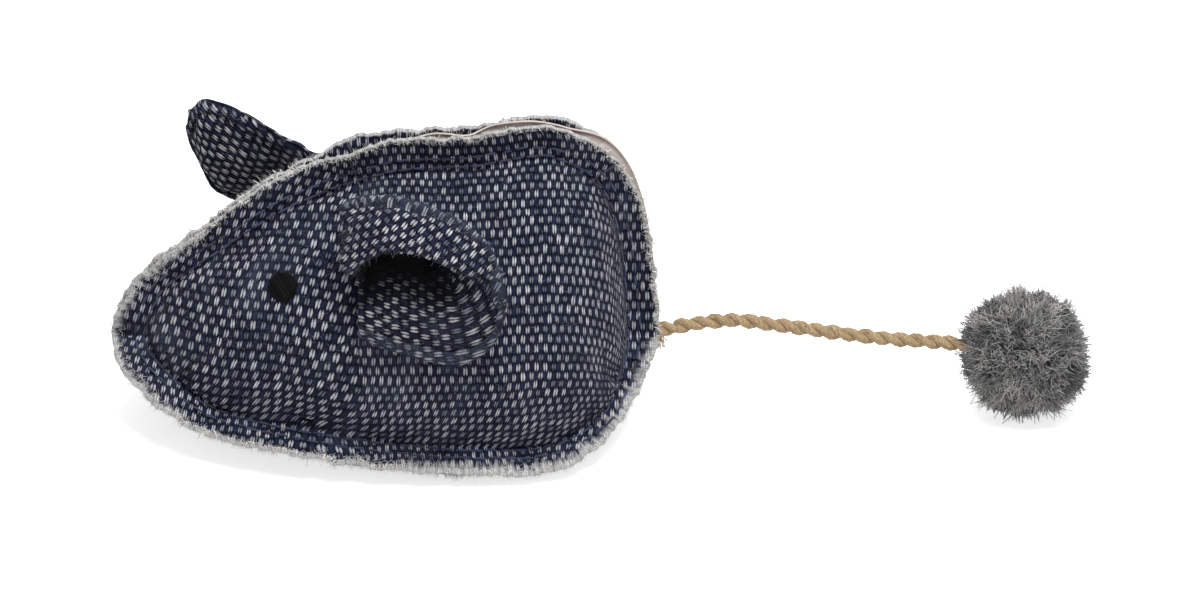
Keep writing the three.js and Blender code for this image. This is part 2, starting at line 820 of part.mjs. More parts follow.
const end = routePoints[ routePoints.length - 1 ];
const beforeEnd = routePoints[ routePoints.length - 2 ];
const endDirection = new THREE.Vector3().subVectors( end, beforeEnd ).normalize();
const knotCentre = end.clone().addScaledVector( endDirection, layerGap + bindingLength / 2 );
const toKnot = new THREE.Matrix4().makeRotationY( - Math.atan2( endDirection.z, endDirection.x ) )
	.setPosition( knotCentre );
const binding = turned( lensOutline( bindingLength, bindingDiameter, 8 ), roundSides / 2 );
addMesh( 'pompom_knot', binding.applyMatrix4( toKnot ), materials.twine );
const knotRoom = knotOutline( 0, bindingLength + 2 * layerGap, bindingDiameter + 2 * layerGap,
	Math.asin( ( twineDiameter + 2 * layerGap ) / ( bindingDiameter + 2 * layerGap ) ), Math.PI, 8 );
knotRoom[ knotRoom.length - 1 ][ 1 ] = 0;
const twineRoom = [ [ - pompomDiameter, 0 ], [ - pompomDiameter, twineRadius + layerGap ], ...knotRoom ];
const ball = new THREE.SphereGeometry( pompomDiameter / 2, roundSides, roundSides * 2 / 3 )
	.translate( knotCentre.x + bindingLength / 2, 0, pompomDiameter / 2 + pompomLift );
const twineSpace = solidOf( turned( twineRoom, roundSides ).applyMatrix4( toKnot ) );
addMesh( 'pompom', geometryOfSolid( solidOf( ball ).subtract( twineSpace ) ), materials.yarn );

export default group;
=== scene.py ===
import math

import bpy
import numpy as np
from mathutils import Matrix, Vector


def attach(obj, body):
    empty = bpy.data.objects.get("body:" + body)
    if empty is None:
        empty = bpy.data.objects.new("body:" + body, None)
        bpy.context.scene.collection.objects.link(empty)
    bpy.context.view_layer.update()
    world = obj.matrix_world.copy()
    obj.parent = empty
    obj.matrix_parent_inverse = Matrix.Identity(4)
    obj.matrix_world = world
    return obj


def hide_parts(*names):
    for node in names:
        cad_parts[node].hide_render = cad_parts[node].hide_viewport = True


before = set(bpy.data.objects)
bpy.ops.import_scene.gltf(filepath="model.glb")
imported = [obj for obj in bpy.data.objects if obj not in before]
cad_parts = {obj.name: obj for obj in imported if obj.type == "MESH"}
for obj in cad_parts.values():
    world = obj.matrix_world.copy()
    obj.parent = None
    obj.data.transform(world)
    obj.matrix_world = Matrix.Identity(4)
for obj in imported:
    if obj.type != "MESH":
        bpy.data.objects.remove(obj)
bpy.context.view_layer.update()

# Everything below is in millimetres until a mesh is made
MM = 0.001
MIRROR = np.array([1, -1, 1])
rng = np.random.default_rng(20261)

# The photograph: its width and middle, and the place of the frame's origin in it, in pixels
PHOTO_WIDTH, PHOTO_MIDDLE, ORIGIN_PIXEL = 1200, (600, 305.5), (386.75, 409)
PIXELS_PER_MM = 5.47
ELEVATION = math.radians(30)

# The body's profiles from nose to rump, as in the part's source
SEAM_LENGTH = 87.2
BODY_HALF = SEAM_LENGTH / 2
SPINE_HEIGHT, BELLY_SEAM_WIDTH = 53.0, 43.0
NOSE_HEIGHT, RUMP_HEIGHT = 16.5, 17.0
SIDE_BULGE = 0.225
SPINE_RISE = [0, 0.24, 0.45, 0.725, 0.91, 0.955, 1, 0.74, 0]
BELLY_DROP = [0, 0.18, 0.43, 0.5, 0.6, 0.675, 0.68, 0.48, 0]
KEEL_DROP = [0, 0.54, 0.9, 1.08, 1.12, 1.12, 1.09, 0.78, 0]
BELLY_WIDTH = [0, 0.3, 0.63, 0.875, 0.98, 1, 0.9, 0.53, 0]
STATION_STEP = 1 / 28

# Cloth and its seam allowance
CLOTH, GAP = 1.0, 0.3
ALLOWANCE, ALLOWANCE_TILT = 7.0, math.radians(25)
SPINE_ALLOWANCE = [1, 0.8, 0.8, 0.95, 1, 1, 1, 0.88, 0.9]
BELLY_ALLOWANCE = [1, 1.02, 0.92, 0.88, 0.88, 0.86, 0.84, 0.6, 0.9]
SEAM_HALF_GAP, TAIL_CHANNEL = 0.6, 1.05

# The dart from the spine to its apex, beside the ears; the cloth ahead of it is turned
DART_X, APEX_SHARE, EQUATOR_SHARE = -4.7, 0.72, 0.45
HEAD_TURN = math.radians(16)

# The weave: distance between warp pairs, and between weft rows; height of its relief
WARP_PITCH, WEFT_PITCH = 0.8, 1.8
RELIEF, EAR_RELIEF, BELLY_RELIEF = 0.17, 0.2, 0.16
# Towards the belly seam the warp is pulled aside, by this much more for each millimetre down
BELLY_PULL, PULL_START = 0.04, 14.0
# The cloth is drawn out over the rounded end of the nose, from this share of the half length
NOSE_START = 0.82
# Ahead of the dart the columns lie closer by this share
HEAD_CLOSER = 0.29

# Ears: their plane, the near one's brim and hollow, and the far one's edges
EAR_STATION, EAR_ARC = 0.468, 0.43
EAR_TILT = math.radians(60)
EAR_LAYER, EAR_ROLL = 0.9, 2.8
EAR_REACH, EAR_RISE, EAR_DROP = 25.8, 18.0, 12.8
EAR_ALONG = [0, 0.1, 0.275, 0.49, 0.715, 0.91, 1]
EAR_UPPER = [0.58, 0.94, 1, 0.92, 0.75, 0.5, 0.2]
EAR_LOWER = [0.64, 0.73, 0.83, 0.95, 1, 0.76, 0.2]
BRIM_HEIGHT, BRIM_FOOT, BRIM_LOBE, TIP_LIFT = 10.0, 1.4, 5.2, 3.4
BRIM_HEIGHTS = [0, 0.66, 1, 0.95, 0.62, 0.22, 0]
BRIM_FOLDS = [0, 0.5, 1, 0.85, 0.4, 0.05, 0]
BRIM_LOBES = [0.2, 1, 0.7, 0.25, 0, 0, 0]
FOLD_ACROSS = [-1, -0.745, -0.44, -0.1, 0.2, 0.6, 0.52, 0.1, 0.3, 0.72, 1]
FOLD_HEIGHT = [0.07, 0, 0, 0, 0.03, 0.1, 0.42, 0.78, 1, 0.84, 0.42]
LIP_RAISE = [-1.4, -3.5, 2.0, 2.5, -0.3, 0, 0]
RIGHT_REACH, RIGHT_SPAN, RIGHT_CURL = 33.5, 10.0, 3.0
RIGHT_CURLS = [-0.28, -0.2, 0.3, 0.9, 1, 0.7, 0]
RIGHT_UPPER = [[0, -0.5, 0.86], [0.3, -0.33, 0.8], [0.62, -0.04, 1.42], [0.88, 0.33, 1.64],
               [0.976, 0.51, 1.3]]
RIGHT_LOWER = [[0.005, 0.5, -0.86], [0.2, 1.05, -1.12], [0.52, 1.12, -1], [0.81, 0.8, -0.6],
               [0.992, 0.6, 0.88]]
# How close the warp columns and the rows lie on each ear, against the body's, and the far one's turn
LEFT_CLOSE, RIGHT_CLOSE, RIGHT_TURN = (0.82, 1.22), (0.68, 1.02), math.radians(-22)
# Near ear: where the roll runs out on the cloth, and the direction of the warp round that place
ROLL_END = (12.5, 22.7)
AROUND_END, WARP_AROUND_END = [-180, -90, 0, 90, 180], [-12, 8, 50, 50, 46]

EYE_ALONG, EYE_ARC, EYE_RADII = 0.363, 0.362, (2.7, 2.6)

# Tail: the cord's route in shares of its reach, its plies, and the pompom
TAIL_REACH, TWINE, POMPOM = 61.0, 2.7, 23.4
ROOT_PROUD = 2.05
TAIL_PIVOT = np.array([BODY_HALF + ALLOWANCE + ROOT_PROUD - TWINE / 2, 0, RUMP_HEIGHT])
ROUTE = [
    (0.0269, 0.0057), (0.07, 0.0148), (0.145, 0.0255), (0.222, 0.0275), (0.313, 0.0135),
    (0.403, 0.001), (0.495, -0.0135), (0.587, -0.0265), (0.678, -0.0365), (0.755, -0.0425),
    (0.847, -0.05), (0.907, -0.0605), (0.9535, -0.0685), (1, -0.0765),
]
PLY_PITCH, PLY_RADIUS, PLY_OFFSET, PLY_SIDES = 6.2, 0.78, 0.6, 16
TUFTS, TUFT_FIBRES, POMPOM_CORE = 230, 28, 8.9

# Radii of the finest threads
NAP_HAIR, FUZZ_HAIR, TWINE_HAIR, CUT_END, TWINE_END = 0.02, 0.035, 0.045, 0.1, 0.12

# Floor: its glow towards the camera, half its width, and how far it lies below the object
FLOOR_GLOW, FLOOR_HALF, FLOOR_DROP = 0.7, 4000.0, 0.3


def linear(red, green, blue):
    """A colour in screen values of 0 to 255, as the shaders want it."""
    return tuple((c / 255 / 12.92) if c / 255 <= 0.04045 else ((c / 255 + 0.055) / 1.055) ** 2.4
                 for c in (red, green, blue)) + (1.0,)


def smoothstep(value, low, high):
    x = np.clip((value - low) / (high - low), 0, 1)
    return x * x * (3 - 2 * x)


def hill(value, centre, width):
    return np.exp(-((value - centre) / width) ** 2)


def between(value, start, full, fading, end):
    """Rises from 0 to 1 between the first two places and falls again between the last two."""
    return smoothstep(value, start, full) * (1 - smoothstep(value, fading, end))


def unit(vectors):
    return vectors / np.maximum(np.linalg.norm(vectors, axis=-1, keepdims=True), 1e-9)


def run_along(points, axis=0):
    """Distance from the first point, along a path or along one axis of a grid."""
    step = np.linalg.norm(np.diff(points, axis=axis), axis=-1)
    return np.concatenate([np.zeros_like(np.take(step, [0], axis)), np.cumsum(step, axis=axis)], axis)


def smoothed(values, times):
    """Values round a closed loop, blended with their neighbours."""
    for _ in range(times):
        values = (np.roll(values, 1, axis=0) + 2 * values + np.roll(values, -1, axis=0)) / 4
    return values


def profile(shares, along):
    """Uniform Catmull-Rom spline through evenly spaced values, for an array of places."""
    shares = np.asarray(shares, float)
    last = len(shares) - 1
    place = np.clip(np.asarray(along, float), 0, 1) * last
    index = np.minimum(np.floor(place).astype(int), last - 1)
    w = place - index
    p0, p1 = shares[np.maximum(index - 1, 0)], shares[index]
    p2, p3 = shares[index + 1], shares[np.minimum(index + 2, last)]
    v0, v1 = (p2 - p0) / 2, (p3 - p1) / 2
    if shares.ndim > 1:
        w = w[..., None]
    return ((2 * p1 - 2 * p2 + v0 + v1) * w ** 3 + (3 * p2 - 3 * p1 - 2 * v0 - v1) * w ** 2
            + v0 * w + p1)


class Waves:
    """Smooth seeded noise: a sum of plane waves of about one wavelength, mostly within -1 and 1."""

    def __init__(self, seed, wavelength, dims=2, count=9):
        own = np.random.default_rng(seed)
        direction = unit(own.normal(size=(count, dims)))
        length = wavelength * own.uniform(0.7, 1.7, count)
        self.k = direction * (2 * np.pi / length)[:, None]
        self.phase = own.uniform(0, 2 * np.pi, count)
        self.size = 1.3 / math.sqrt(count)

    def __call__(self, *coordinates):
        at = np.stack(np.broadcast_arrays(*coordinates), axis=-1)
        return self.size * np.sin(at @ self.k.T + self.phase).sum(axis=-1)


# Meshes: a part is its points, a list of face arrays, and UV maps with a value for each point

def grid_quads(rows, columns, wrap=False, start=0, flip=False):
    index = np.arange(rows * columns).reshape(rows, columns) + start
    if wrap:
        index = np.concatenate([index, index[:, :1]], axis=1)
    quads = np.stack([index[:-1, :-1], index[:-1, 1:], index[1:, 1:], index[1:, :-1]], axis=-1)
    return quads.reshape(-1, 4)[:, ::-1 if flip else 1]


def bridge(first, second, flip=False):
    """Quads between two equally long rows of vertex numbers."""
    return np.stack([first[:-1], first[1:], second[1:], second[:-1]], axis=-1)[:, ::-1 if flip else 1]


def slab(top, under):
    """Points and faces of a sheet with two sides and closed edges."""
    rows, columns = top.shape[:2]
    n = rows * columns
    index = np.arange(n).reshape(rows, columns)
    rims = (index[0], False), (index[-1], True), (index[:, 0], True), (index[:, -1], False)
    return (np.concatenate([top.reshape(-1, 3), under.reshape(-1, 3)]),
            [grid_quads(rows, columns), grid_quads(rows, columns, start=n, flip=True)]
            + [bridge(rim, rim + n, flip) for rim, flip in rims])


def grid_normals(points):
    """Unit normals of a grid of points, column direction crossed with row direction."""
    return unit(np.cross(np.gradient(points, axis=1), np.gradient(points, axis=0)))


def threads(paths, radii, sides, values):
    """Round threads along many paths (n, steps, 3) at once; values holds two numbers for each."""
    count, steps, _ = paths.shape
    radii = np.broadcast_to(radii, (count, steps))
    tangent = unit(np.gradient(paths, axis=1))
    upright = np.abs(tangent.mean(axis=1, keepdims=True)[..., 2:3]) < 0.8
    side = unit(np.cross(tangent, np.where(upright, [[[0.0, 0, 1]]], [[[1.0, 0, 0]]])))
    up = np.cross(side, tangent)
    angle = np.linspace(0, 2 * np.pi, sides, endpoint=False)
    ring = side[:, :, None] * np.cos(angle)[:, None] + up[:, :, None] * np.sin(angle)[:, None]
    points = (paths[:, :, None] + ring * radii[:, :, None, None]).reshape(-1, 3)
    index = np.arange(count * steps * sides).reshape(count, steps, sides)
    after = np.roll(index, -1, axis=2)
    first = np.broadcast_to(len(points) + np.arange(count)[:, None], (count, sides))
    faces = [np.stack([index[:, :-1], after[:, :-1], after[:, 1:], index[:, 1:]], axis=-1).reshape(-1, 4),
             np.stack([after[:, 0], index[:, 0], first], axis=-1).reshape(-1, 3),
             np.stack([index[:, -1], after[:, -1], first + count], axis=-1).reshape(-1, 3)]
    return (np.concatenate([points, paths[:, 0], paths[:, -1]]), faces,
            {"thread": np.concatenate([np.repeat(values, steps * sides, axis=0), values, values])})


def chances(own, count):
    return own.uniform(0, 1, (2, count)).T


def hairs(centres, directions, lengths, radius, seed, curl, steps=5, sides=3):
    """Short stray fibres: each starts at a point, leaves along a direction and bends."""
    own = np.random.default_rng(seed)
    count = len(centres)
    bend = own.normal(size=(count, 3))
    bend = unit(bend - directions * np.sum(bend * directions, axis=1, keepdims=True))
    t = np.linspace(0, 1, steps)
    reach = lengths.reshape(-1, 1, 1)
    paths = (centres[:, None] + directions[:, None] * t[None, :, None] * reach
             + bend[:, None] * (t ** 2)[None, :, None] * reach * curl * own.uniform(0.2, 1.6, (count, 1, 1)))
    paths[..., 2] = np.maximum(paths[..., 2], radius)
    return threads(paths, radius * (1 - 0.55 * t), sides, chances(own, count))


def join(parts):
    points, faces, layers, offset = [], [], {}, 0
    for part_points, part_faces, part_layers in parts:
        points.append(part_points)
        faces += [group + offset for group in part_faces]
        for key, value in part_layers.items():
            layers.setdefault(key, []).append(value)
        offset += len(part_points)
    return np.concatenate(points), faces, {key: np.concatenate(value) for key, value in layers.items()}


def mirrored(part):
    points, faces, layers = part
    return points * MIRROR, [group[:, ::-1] for group in faces], layers


def make_piece(name, part, material, body, stands_for=None):
    """A named piece of the visual model, made from a part in millimetres."""
    points, faces, layers = part
    # Quads with a repeated corner become triangles
    clean = []
    for group in faces:
        if group.shape[1] == 4:
            thin = (group == np.roll(group, 1, axis=1)).any(axis=1)
            clean.append(group[~thin])
            corners = [list(dict.fromkeys(face)) for face in group[thin]]
            group = np.array([c for c in corners if len(c) == 3], int).reshape(-1, 3)
        clean.append(group)
    clean = [group for group in clean if len(group)]
    loops = np.concatenate([group.ravel() for group in clean]).astype(np.int32)
    totals = np.concatenate([np.full(len(group), group.shape[1]) for group in clean]).astype(np.int32)
    mesh = bpy.data.meshes.new(name)
    mesh.vertices.add(len(points))
    mesh.vertices.foreach_set("co", (points * MM).astype(np.float32).ravel())
    mesh.loops.add(len(loops))
    mesh.loops.foreach_set("vertex_index", loops)
    mesh.polygons.add(len(totals))
    mesh.polygons.foreach_set("loop_start", (np.cumsum(totals) - totals).astype(np.int32))
    mesh.polygons.foreach_set("loop_total", totals)
    mesh.update(calc_edges=True)
    for layer_name, values in layers.items():
        layer = mesh.uv_layers.new(name=layer_name)
        layer.data.foreach_set("uv", values.astype(np.float32)[loops].ravel())
    mesh.polygons.foreach_set("use_smooth", np.ones(len(totals), bool))
    mesh.validate()
    mesh.update()
    piece = bpy.data.objects.new(name, mesh)
    bpy.context.scene.collection.objects.link(piece)
    mesh.materials.append(material)
    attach(piece, body)
    if stands_for:
        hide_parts(stands_for)
    return piece


# Materials

class Field:
    """A value that varies over a material; sums and products of it become Math nodes."""

    def __init__(self, shader, socket):
        self.shader, self.socket = shader, socket

    def math(self, operation, *others, clamp=False):
        return self.shader.math(operation, self, *others, clamp=clamp)

    def __add__(self, other):
        return self.math("ADD", other)

    def __sub__(self, other):
        return self.math("SUBTRACT", other)

    def __rsub__(self, other):
        return self.shader.math("SUBTRACT", other, self)

    def __mul__(self, other):
        return self.math("MULTIPLY", other)

    def __truediv__(self, other):
        return self.math("DIVIDE", other)

    def __pow__(self, other):
        return self.math("POWER", other)

    def __abs__(self):
        return self.math("ABSOLUTE")


class Shader:
    """A material's node tree, with short calls for the nodes that it needs."""

    def __init__(self, name):
        self.material = bpy.data.materials.new(name)
        self.material.use_nodes = True
        self.tree = self.material.node_tree
        self.tree.nodes.clear()
        self.out = self.tree.nodes.new("ShaderNodeOutputMaterial")
        self.surface = self.tree.nodes.new("ShaderNodeBsdfPrincipled")
        self.link(self.surface.outputs[0], self.out.inputs[0])

    def link(self, value, socket):
        value = value.socket if isinstance(value, Field) else value
        if isinstance(value, bpy.types.NodeSocket):
            self.tree.links.new(value, socket)
        else:
            socket.default_value = value

    def node(self, kind, inputs, **settings):
        node = self.tree.nodes.new(kind)
        for key, value in settings.items():
            setattr(node, key, value)
        for key, value in inputs.items():
            self.link(value, node.inputs[key])
        return node

    def field(self, output, kind, inputs, **settings):
        return Field(self, self.node(kind, inputs, **settings).outputs[output])

    def math(self, operation, *values, clamp=False):
        return self.field(0, "ShaderNodeMath", dict(enumerate(values)), operation=operation, use_clamp=clamp)

    def mix(self, factor, a, b):
        return self.field(2, "ShaderNodeMix", {0: factor, 6: a, 7: b}, data_type="RGBA")

    def ramp(self, value, low, high, to_low=0.0, to_high=1.0):
        inputs = dict(enumerate((value, low, high, to_low, to_high)))
        return self.field(0, "ShaderNodeMapRange", inputs, interpolation_type="SMOOTHSTEP")

    def split(self, kind, socket):
        node = self.node("ShaderNodeSeparate" + kind, {0: socket})
        return Field(self, node.outputs[0]), Field(self, node.outputs[1])

    def uv(self, name):
        return self.split("XYZ", self.node("ShaderNodeUVMap", {}, uv_map=name).outputs[0])

    def vector(self, x, y, z=0.0):
        return self.field(0, "ShaderNodeCombineXYZ", {0: x, 1: y, 2: z})

    def noise(self, vector, scale, detail=3.0):
        inputs = {"Vector": vector, "Scale": scale, "Detail": detail, "Roughness": 0.55}
        return self.field("Fac", "ShaderNodeTexNoise", inputs)

    def position(self):
        return self.field("Object", "ShaderNodeTexCoord", {})

    def bump(self, height, strength, distance):
        inputs = {"Height": height, "Strength": strength, "Distance": distance}
        self.link(self.field(0, "ShaderNodeBump", inputs), self.surface.inputs["Normal"])

    def finish(self, color, roughness, sheen=0.0, specular=0.25):
        for key, value in (("Base Color", color), ("Roughness", roughness), ("Sheen Weight", sheen),
                           ("Sheen Roughness", 0.6), ("Specular IOR Level", specular)):
            self.link(value, self.surface.inputs[key])
        return self.material


def weave_material(name, seed, edge_fuzz=True, pale_low=(104, 109, 130), pale_high=(224, 226, 234), fuzz=0.2):
    """Plain weave in cell units: off-white warp pairs over navy weft, checkered."""
    s = Shader(name)
    u, v = s.uv("weave")
    inputs = {"Vector": s.vector(u, v, seed), "Scale": 0.55, "Detail": 2.0}
    wobble_u, wobble_v = s.split("Color", s.node("ShaderNodeTexNoise", inputs).outputs["Color"])
    u = (wobble_u - 0.5) * 0.55 + u
    v = (wobble_v - 0.5) * 0.5 + v
    # Each column of warp holds a light float in every second row, and neighbours alternate
    column = u.math("FLOOR")
    in_u = u - column
    pair = (v - column.math("FLOORED_MODULO", 2.0)) * 0.5 + 0.25
    row = pair.math("FLOOR")
    from_end = abs(pair - row - 0.5) * 2.0
    cell = s.node("ShaderNodeTexWhiteNoise", {"Vector": s.vector(column, row, seed + 0.5)},
                  noise_dimensions="3D")
    chance = Field(s, cell.outputs["Value"])
    tint, _ = s.split("Color", cell.outputs["Color"])

    # Two warp strands side by side, each a slim lens with a ragged outline
    length = tint * 0.16 + 0.4
    warp_fibre = s.noise(s.vector(u * 15.0, v * 3.0, seed), 1.4, 4.0)
    ragged = warp_fibre * 1.8 - 0.85
    lens = (from_end / length) ** 2.2 + ragged
    left, right = (s.ramp(abs(in_u - centre) / 0.25 + lens, 0.15, 1.2, 1.0, 0.0) for centre in (0.25, 0.75))
    light = left.math("MAXIMUM", right)

    # Navy weft crosses over between them
    fibre = s.noise(s.vector(u * 3.0, v * 14.0, seed), 1.6, 5.0)
    from_middle = abs(in_u - 0.5)
    float_top = s.ramp(1.0 - from_end, 0.2, 0.9, 1.0, 0.0)
    navy_round = float_top * s.ramp(from_middle, 0.15, 0.75, 1.0, 0.0)

    # Painted shade: dark holes where four yarns meet, with ragged outlines
    frayed = s.noise(s.vector(u, v, seed + 6), 3.0, 4.0) * 2.6 - 1.3
    to_corner = (0.5 - from_middle) * 2.0 + abs(from_end - 0.5) * 2.0
    hole_painted_shade = s.ramp(to_corner + frayed, 0.1, 1.05, 1.0, 0.0)
    # The navy is lighter on the crown of each float: a painted highlight, varied by the fibres and by
    # blotches of real tone
    blotch = s.ramp(s.noise(s.vector(u, v, seed + 9), 0.8), 0.3, 0.7, 0.45, 1.35)
    tone_and_painted_highlight = (fibre ** 2.5 * (navy_round * 2.6)).math("MULTIPLY", blotch, clamp=True)
    navy = s.mix(tone_and_painted_highlight, linear(12, 14, 23), linear(42, 49, 76))
    pale = s.mix(chance ** 0.8, linear(*pale_low), linear(*pale_high))
    pale = s.mix(s.ramp(warp_fibre, 0.35, 0.75, 0.05, 0.65), pale, linear(56, 60, 76))
    # The holes take the painted shade towards near black; the pale warp lies over all
    color = s.mix(light, s.mix(hole_painted_shade, navy, linear(8, 9, 15)), pale)

    # Patches where the surface is fuzzier and greyer
    patch = s.ramp(s.noise(s.vector(u, v, seed + 3), 0.12), 0.48, 0.78, fuzz - 0.2, fuzz)
    color = s.mix(patch, color, linear(84, 91, 110))
    # The edge map holds the painted shade of an ear's fold and floor, or else the distance from a raw edge
    # and along it
    edge, along = s.uv("edge")
    if edge_fuzz:
        # Off-white fray towards a raw edge; where the band is widened along the belly seam this paleness is
        # painted light
        reach = s.noise(s.vector(along * 1.6, edge * 0.4, seed), 1.0) * -2.2 + edge
        color = s.mix(s.ramp(reach, -1.4, -0.2, 0.68, 0.0), color, linear(222, 221, 220))
    else:
        # Painted shade: the ear's fold and floor are darkened towards near black
        color = s.mix(edge, color, linear(9, 9, 12))
    s.bump(light * (warp_fibre * 0.3 + 0.85) + navy_round * (fibre * 0.5 + 0.35), 0.45, 0.0004)
    return s.finish(color, 0.95, sheen=0.015, specular=0.07)


def thread_material(name, dark, pale, sheen=0.2, specular=0.25):
    """Yarn or thread: a tone per thread from the map's first value, fibres along its length."""
    s = Shader(name)
    chance, _ = s.uv("thread")
    fibre = s.noise(s.position(), 2600.0)
    tone = (chance * 0.7).math("ADD", s.noise(s.position(), 420.0, 2.0) * 0.35, clamp=True)
    color = s.mix(tone, dark, pale)
    color = s.mix(fibre * 0.35, color, s.mix(0.5, color, (0.01, 0.01, 0.012, 1)))
    s.bump(fibre, 0.5, 0.00015)
    return s.finish(color, 0.9, sheen, specular)


def fibre_material(name, dark, pale, scale=900.0):
    """Loose or felted stuff without maps: two noises from the object's own place."""
    s = Shader(name)
    coarse = s.noise(s.position(), scale * 0.25, 4.0)
    fine = s.noise(s.position(), scale * 2.4)
    color = s.mix(s.ramp(coarse * 0.6 + fine * 0.4, 0.35, 0.68), dark, pale)
    s.bump(coarse + fine, 0.5, 0.0003)
    return s.finish(color, 0.95, sheen=0.2)


def twine_material():
    """Jute: straw-coloured fibres that follow the twist, darker between the strands."""
    s = Shader("jute_twine")
    chance, along = s.uv("thread")
    fine = s.noise(s.vector(along * 0.35, chance * 26.0), 1.0, 4.0)
    coarse = s.noise(s.position(), 350.0)
    specks = s.noise(s.position(), 3000.0, 2.0)
    color = s.mix(s.ramp(fine, 0.3, 0.7), linear(112, 88, 58), linear(196, 170, 132))
    color = s.mix(s.ramp(coarse, 0.35, 0.75, 0.0, 0.5), color, linear(150, 126, 90))
    color = s.mix(s.ramp(specks, 0.55, 0.75, 0.0, 0.5), color, linear(224, 206, 176))
    s.bump(fine + specks * 0.4, 0.6, 0.0002)
    return s.finish(color, 0.85, sheen=0.15)


def suede_material():
    s = Shader("rust_suede")
    nap = s.noise(s.position(), 1800.0, 4.0)
    tone = s.noise(s.position(), 160.0)
    color = s.mix(s.ramp(tone, 0.3, 0.7), linear(176, 154, 144), linear(212, 196, 188))
    color = s.mix(nap * 0.5, color, linear(228, 216, 210))
    s.bump(nap, 0.35, 0.0001)
    return s.finish(color, 0.8, sheen=0.3)


def floor_material():
    """A pale floor that shows white to the camera, with the object's shadow kept."""
    s = Shader("studio_floor")
    grain = s.noise(s.position(), 30.0, 2.0)
    s.finish(s.mix(grain * 0.04, linear(246, 246, 246), linear(240, 240, 240)), 0.9, specular=0.1)
    path = s.node("ShaderNodeLightPath", {})
    glow, none = (s.node("ShaderNodeEmission", {"Color": (tone, tone, tone, 1), "Strength": strength})
                  for tone, strength in ((1, FLOOR_GLOW), (0, 0.0)))
    camera_ray, glossy_ray, through_ray = (
        Field(s, path.outputs["Is " + kind + " Ray"]) for kind in ("Camera", "Glossy", "Transmission"))
    seen = camera_ray.math("MAXIMUM", glossy_ray.math("MAXIMUM", through_ray))
    choice = s.node("ShaderNodeMixShader", {0: seen, 1: none.outputs[0], 2: glow.outputs[0]})
    both = s.node("ShaderNodeAddShader", {0: s.surface.outputs[0], 1: choice.outputs[0]})
    s.link(both.outputs[0], s.out.inputs[0])
    return s.material


body_cloth = weave_material("navy_weave_body", 1.0)
belly_cloth = weave_material("navy_weave_belly", 4.0)
ear_cloth = {
    "left_front": weave_material("navy_weave_ear", 7.0, False, pale_high=(238, 239, 244)),
    "left_back": weave_material("navy_weave_rim", 11.0, False, fuzz=0.4),
    # The far ear's front has brighter pale strands: painted light, for the light its tilted face does not get
    # from the lamps
    "right_front": weave_material("navy_weave_far_ear_painted_light", 9.0, False, (196, 198, 208), (255, 255, 255)),
    "right_back": weave_material("navy_weave_ear_back", 12.0, False),
}
nap_hair = thread_material("nap_hairs", linear(56, 61, 78), linear(166, 168, 176), 0.1)
fray_thread = thread_material("fray_threads", linear(176, 172, 168), linear(255, 251, 244), 0.1)
navy_thread = thread_material("navy_thread", linear(20, 24, 44), linear(58, 66, 104))
black_thread = thread_material("black_floss", linear(2, 2, 3), linear(26, 26, 25), 0.0, 0.08)
yarn = thread_material("grey_yarn", linear(42, 45, 53), linear(192, 189, 186))
twine = twine_material()
suede = suede_material()
filling = fibre_material("filling_fibre", linear(205, 203, 196), linear(245, 244, 240))
herb = fibre_material("dried_catnip", linear(86, 84, 46), linear(150, 146, 96), 1500.0)


# Camera first: the photograph's angle, with a long lens

def look_at(thing, target):
    thing.rotation_euler = (Vector(target) - thing.location).to_track_quat("-Z", "Y").to_euler()


def add_camera(distance=1500.0, sensor=36, clip_end=20):
    right, down = (np.array(PHOTO_MIDDLE) - ORIGIN_PIXEL) / PIXELS_PER_MM
    target = np.array([right, 0, -down / math.cos(ELEVATION)])
    data = bpy.data.cameras.new("studio_camera")
    data.sensor_width = sensor
    data.lens = sensor * distance / (PHOTO_WIDTH / PIXELS_PER_MM)
    data.clip_end = clip_end
    camera = bpy.data.objects.new("studio_camera", data)
    bpy.context.scene.collection.objects.link(camera)
    camera.location = (target + distance * np.array([0, -math.cos(ELEVATION), math.sin(ELEVATION)])) * MM
    look_at(camera, target * MM)
    bpy.context.scene.camera = camera


add_camera()


# The tail: two plies of twine along the route, then the pompom on its end

def smooth_route(points, count):
    """Centripetal Catmull-Rom curve through the points, evenly resampled, and its length."""
    padded = np.concatenate([[2 * points[0] - points[1]], points, [2 * points[-1] - points[-2]]])
    curve = []
    for i in range(1, len(padded) - 2):
        p = padded[i - 1:i + 3]
        t = np.concatenate([[0], np.cumsum(np.sqrt(np.linalg.norm(np.diff(p, axis=0), axis=1)))])
        x = np.linspace(t[1], t[2], 24, endpoint=i == len(padded) - 3)[:, None]

        def blend(first, last, start, stop):
            return (t[stop] - x) / (t[stop] - t[start]) * first + (x - t[start]) / (t[stop] - t[start]) * last

        a1, a2, a3 = (blend(p[k], p[k + 1], k, k + 1) for k in range(3))
        curve.append(blend(blend(a1, a2, 0, 2), blend(a2, a3, 1, 3), 1, 2))
    curve = np.concatenate(curve)
    length = run_along(curve)
    at = np.linspace(0, length[-1], count)
    return np.stack([np.interp(at, length, curve[:, i]) for i in range(3)], axis=1), length[-1]


def frames_along(path):
    tangent = unit(np.gradient(path, axis=0))
    side = -unit(np.cross(np.cross(tangent, (0, 1, 0)), tangent))
    return tangent, side, np.cross(tangent, side)


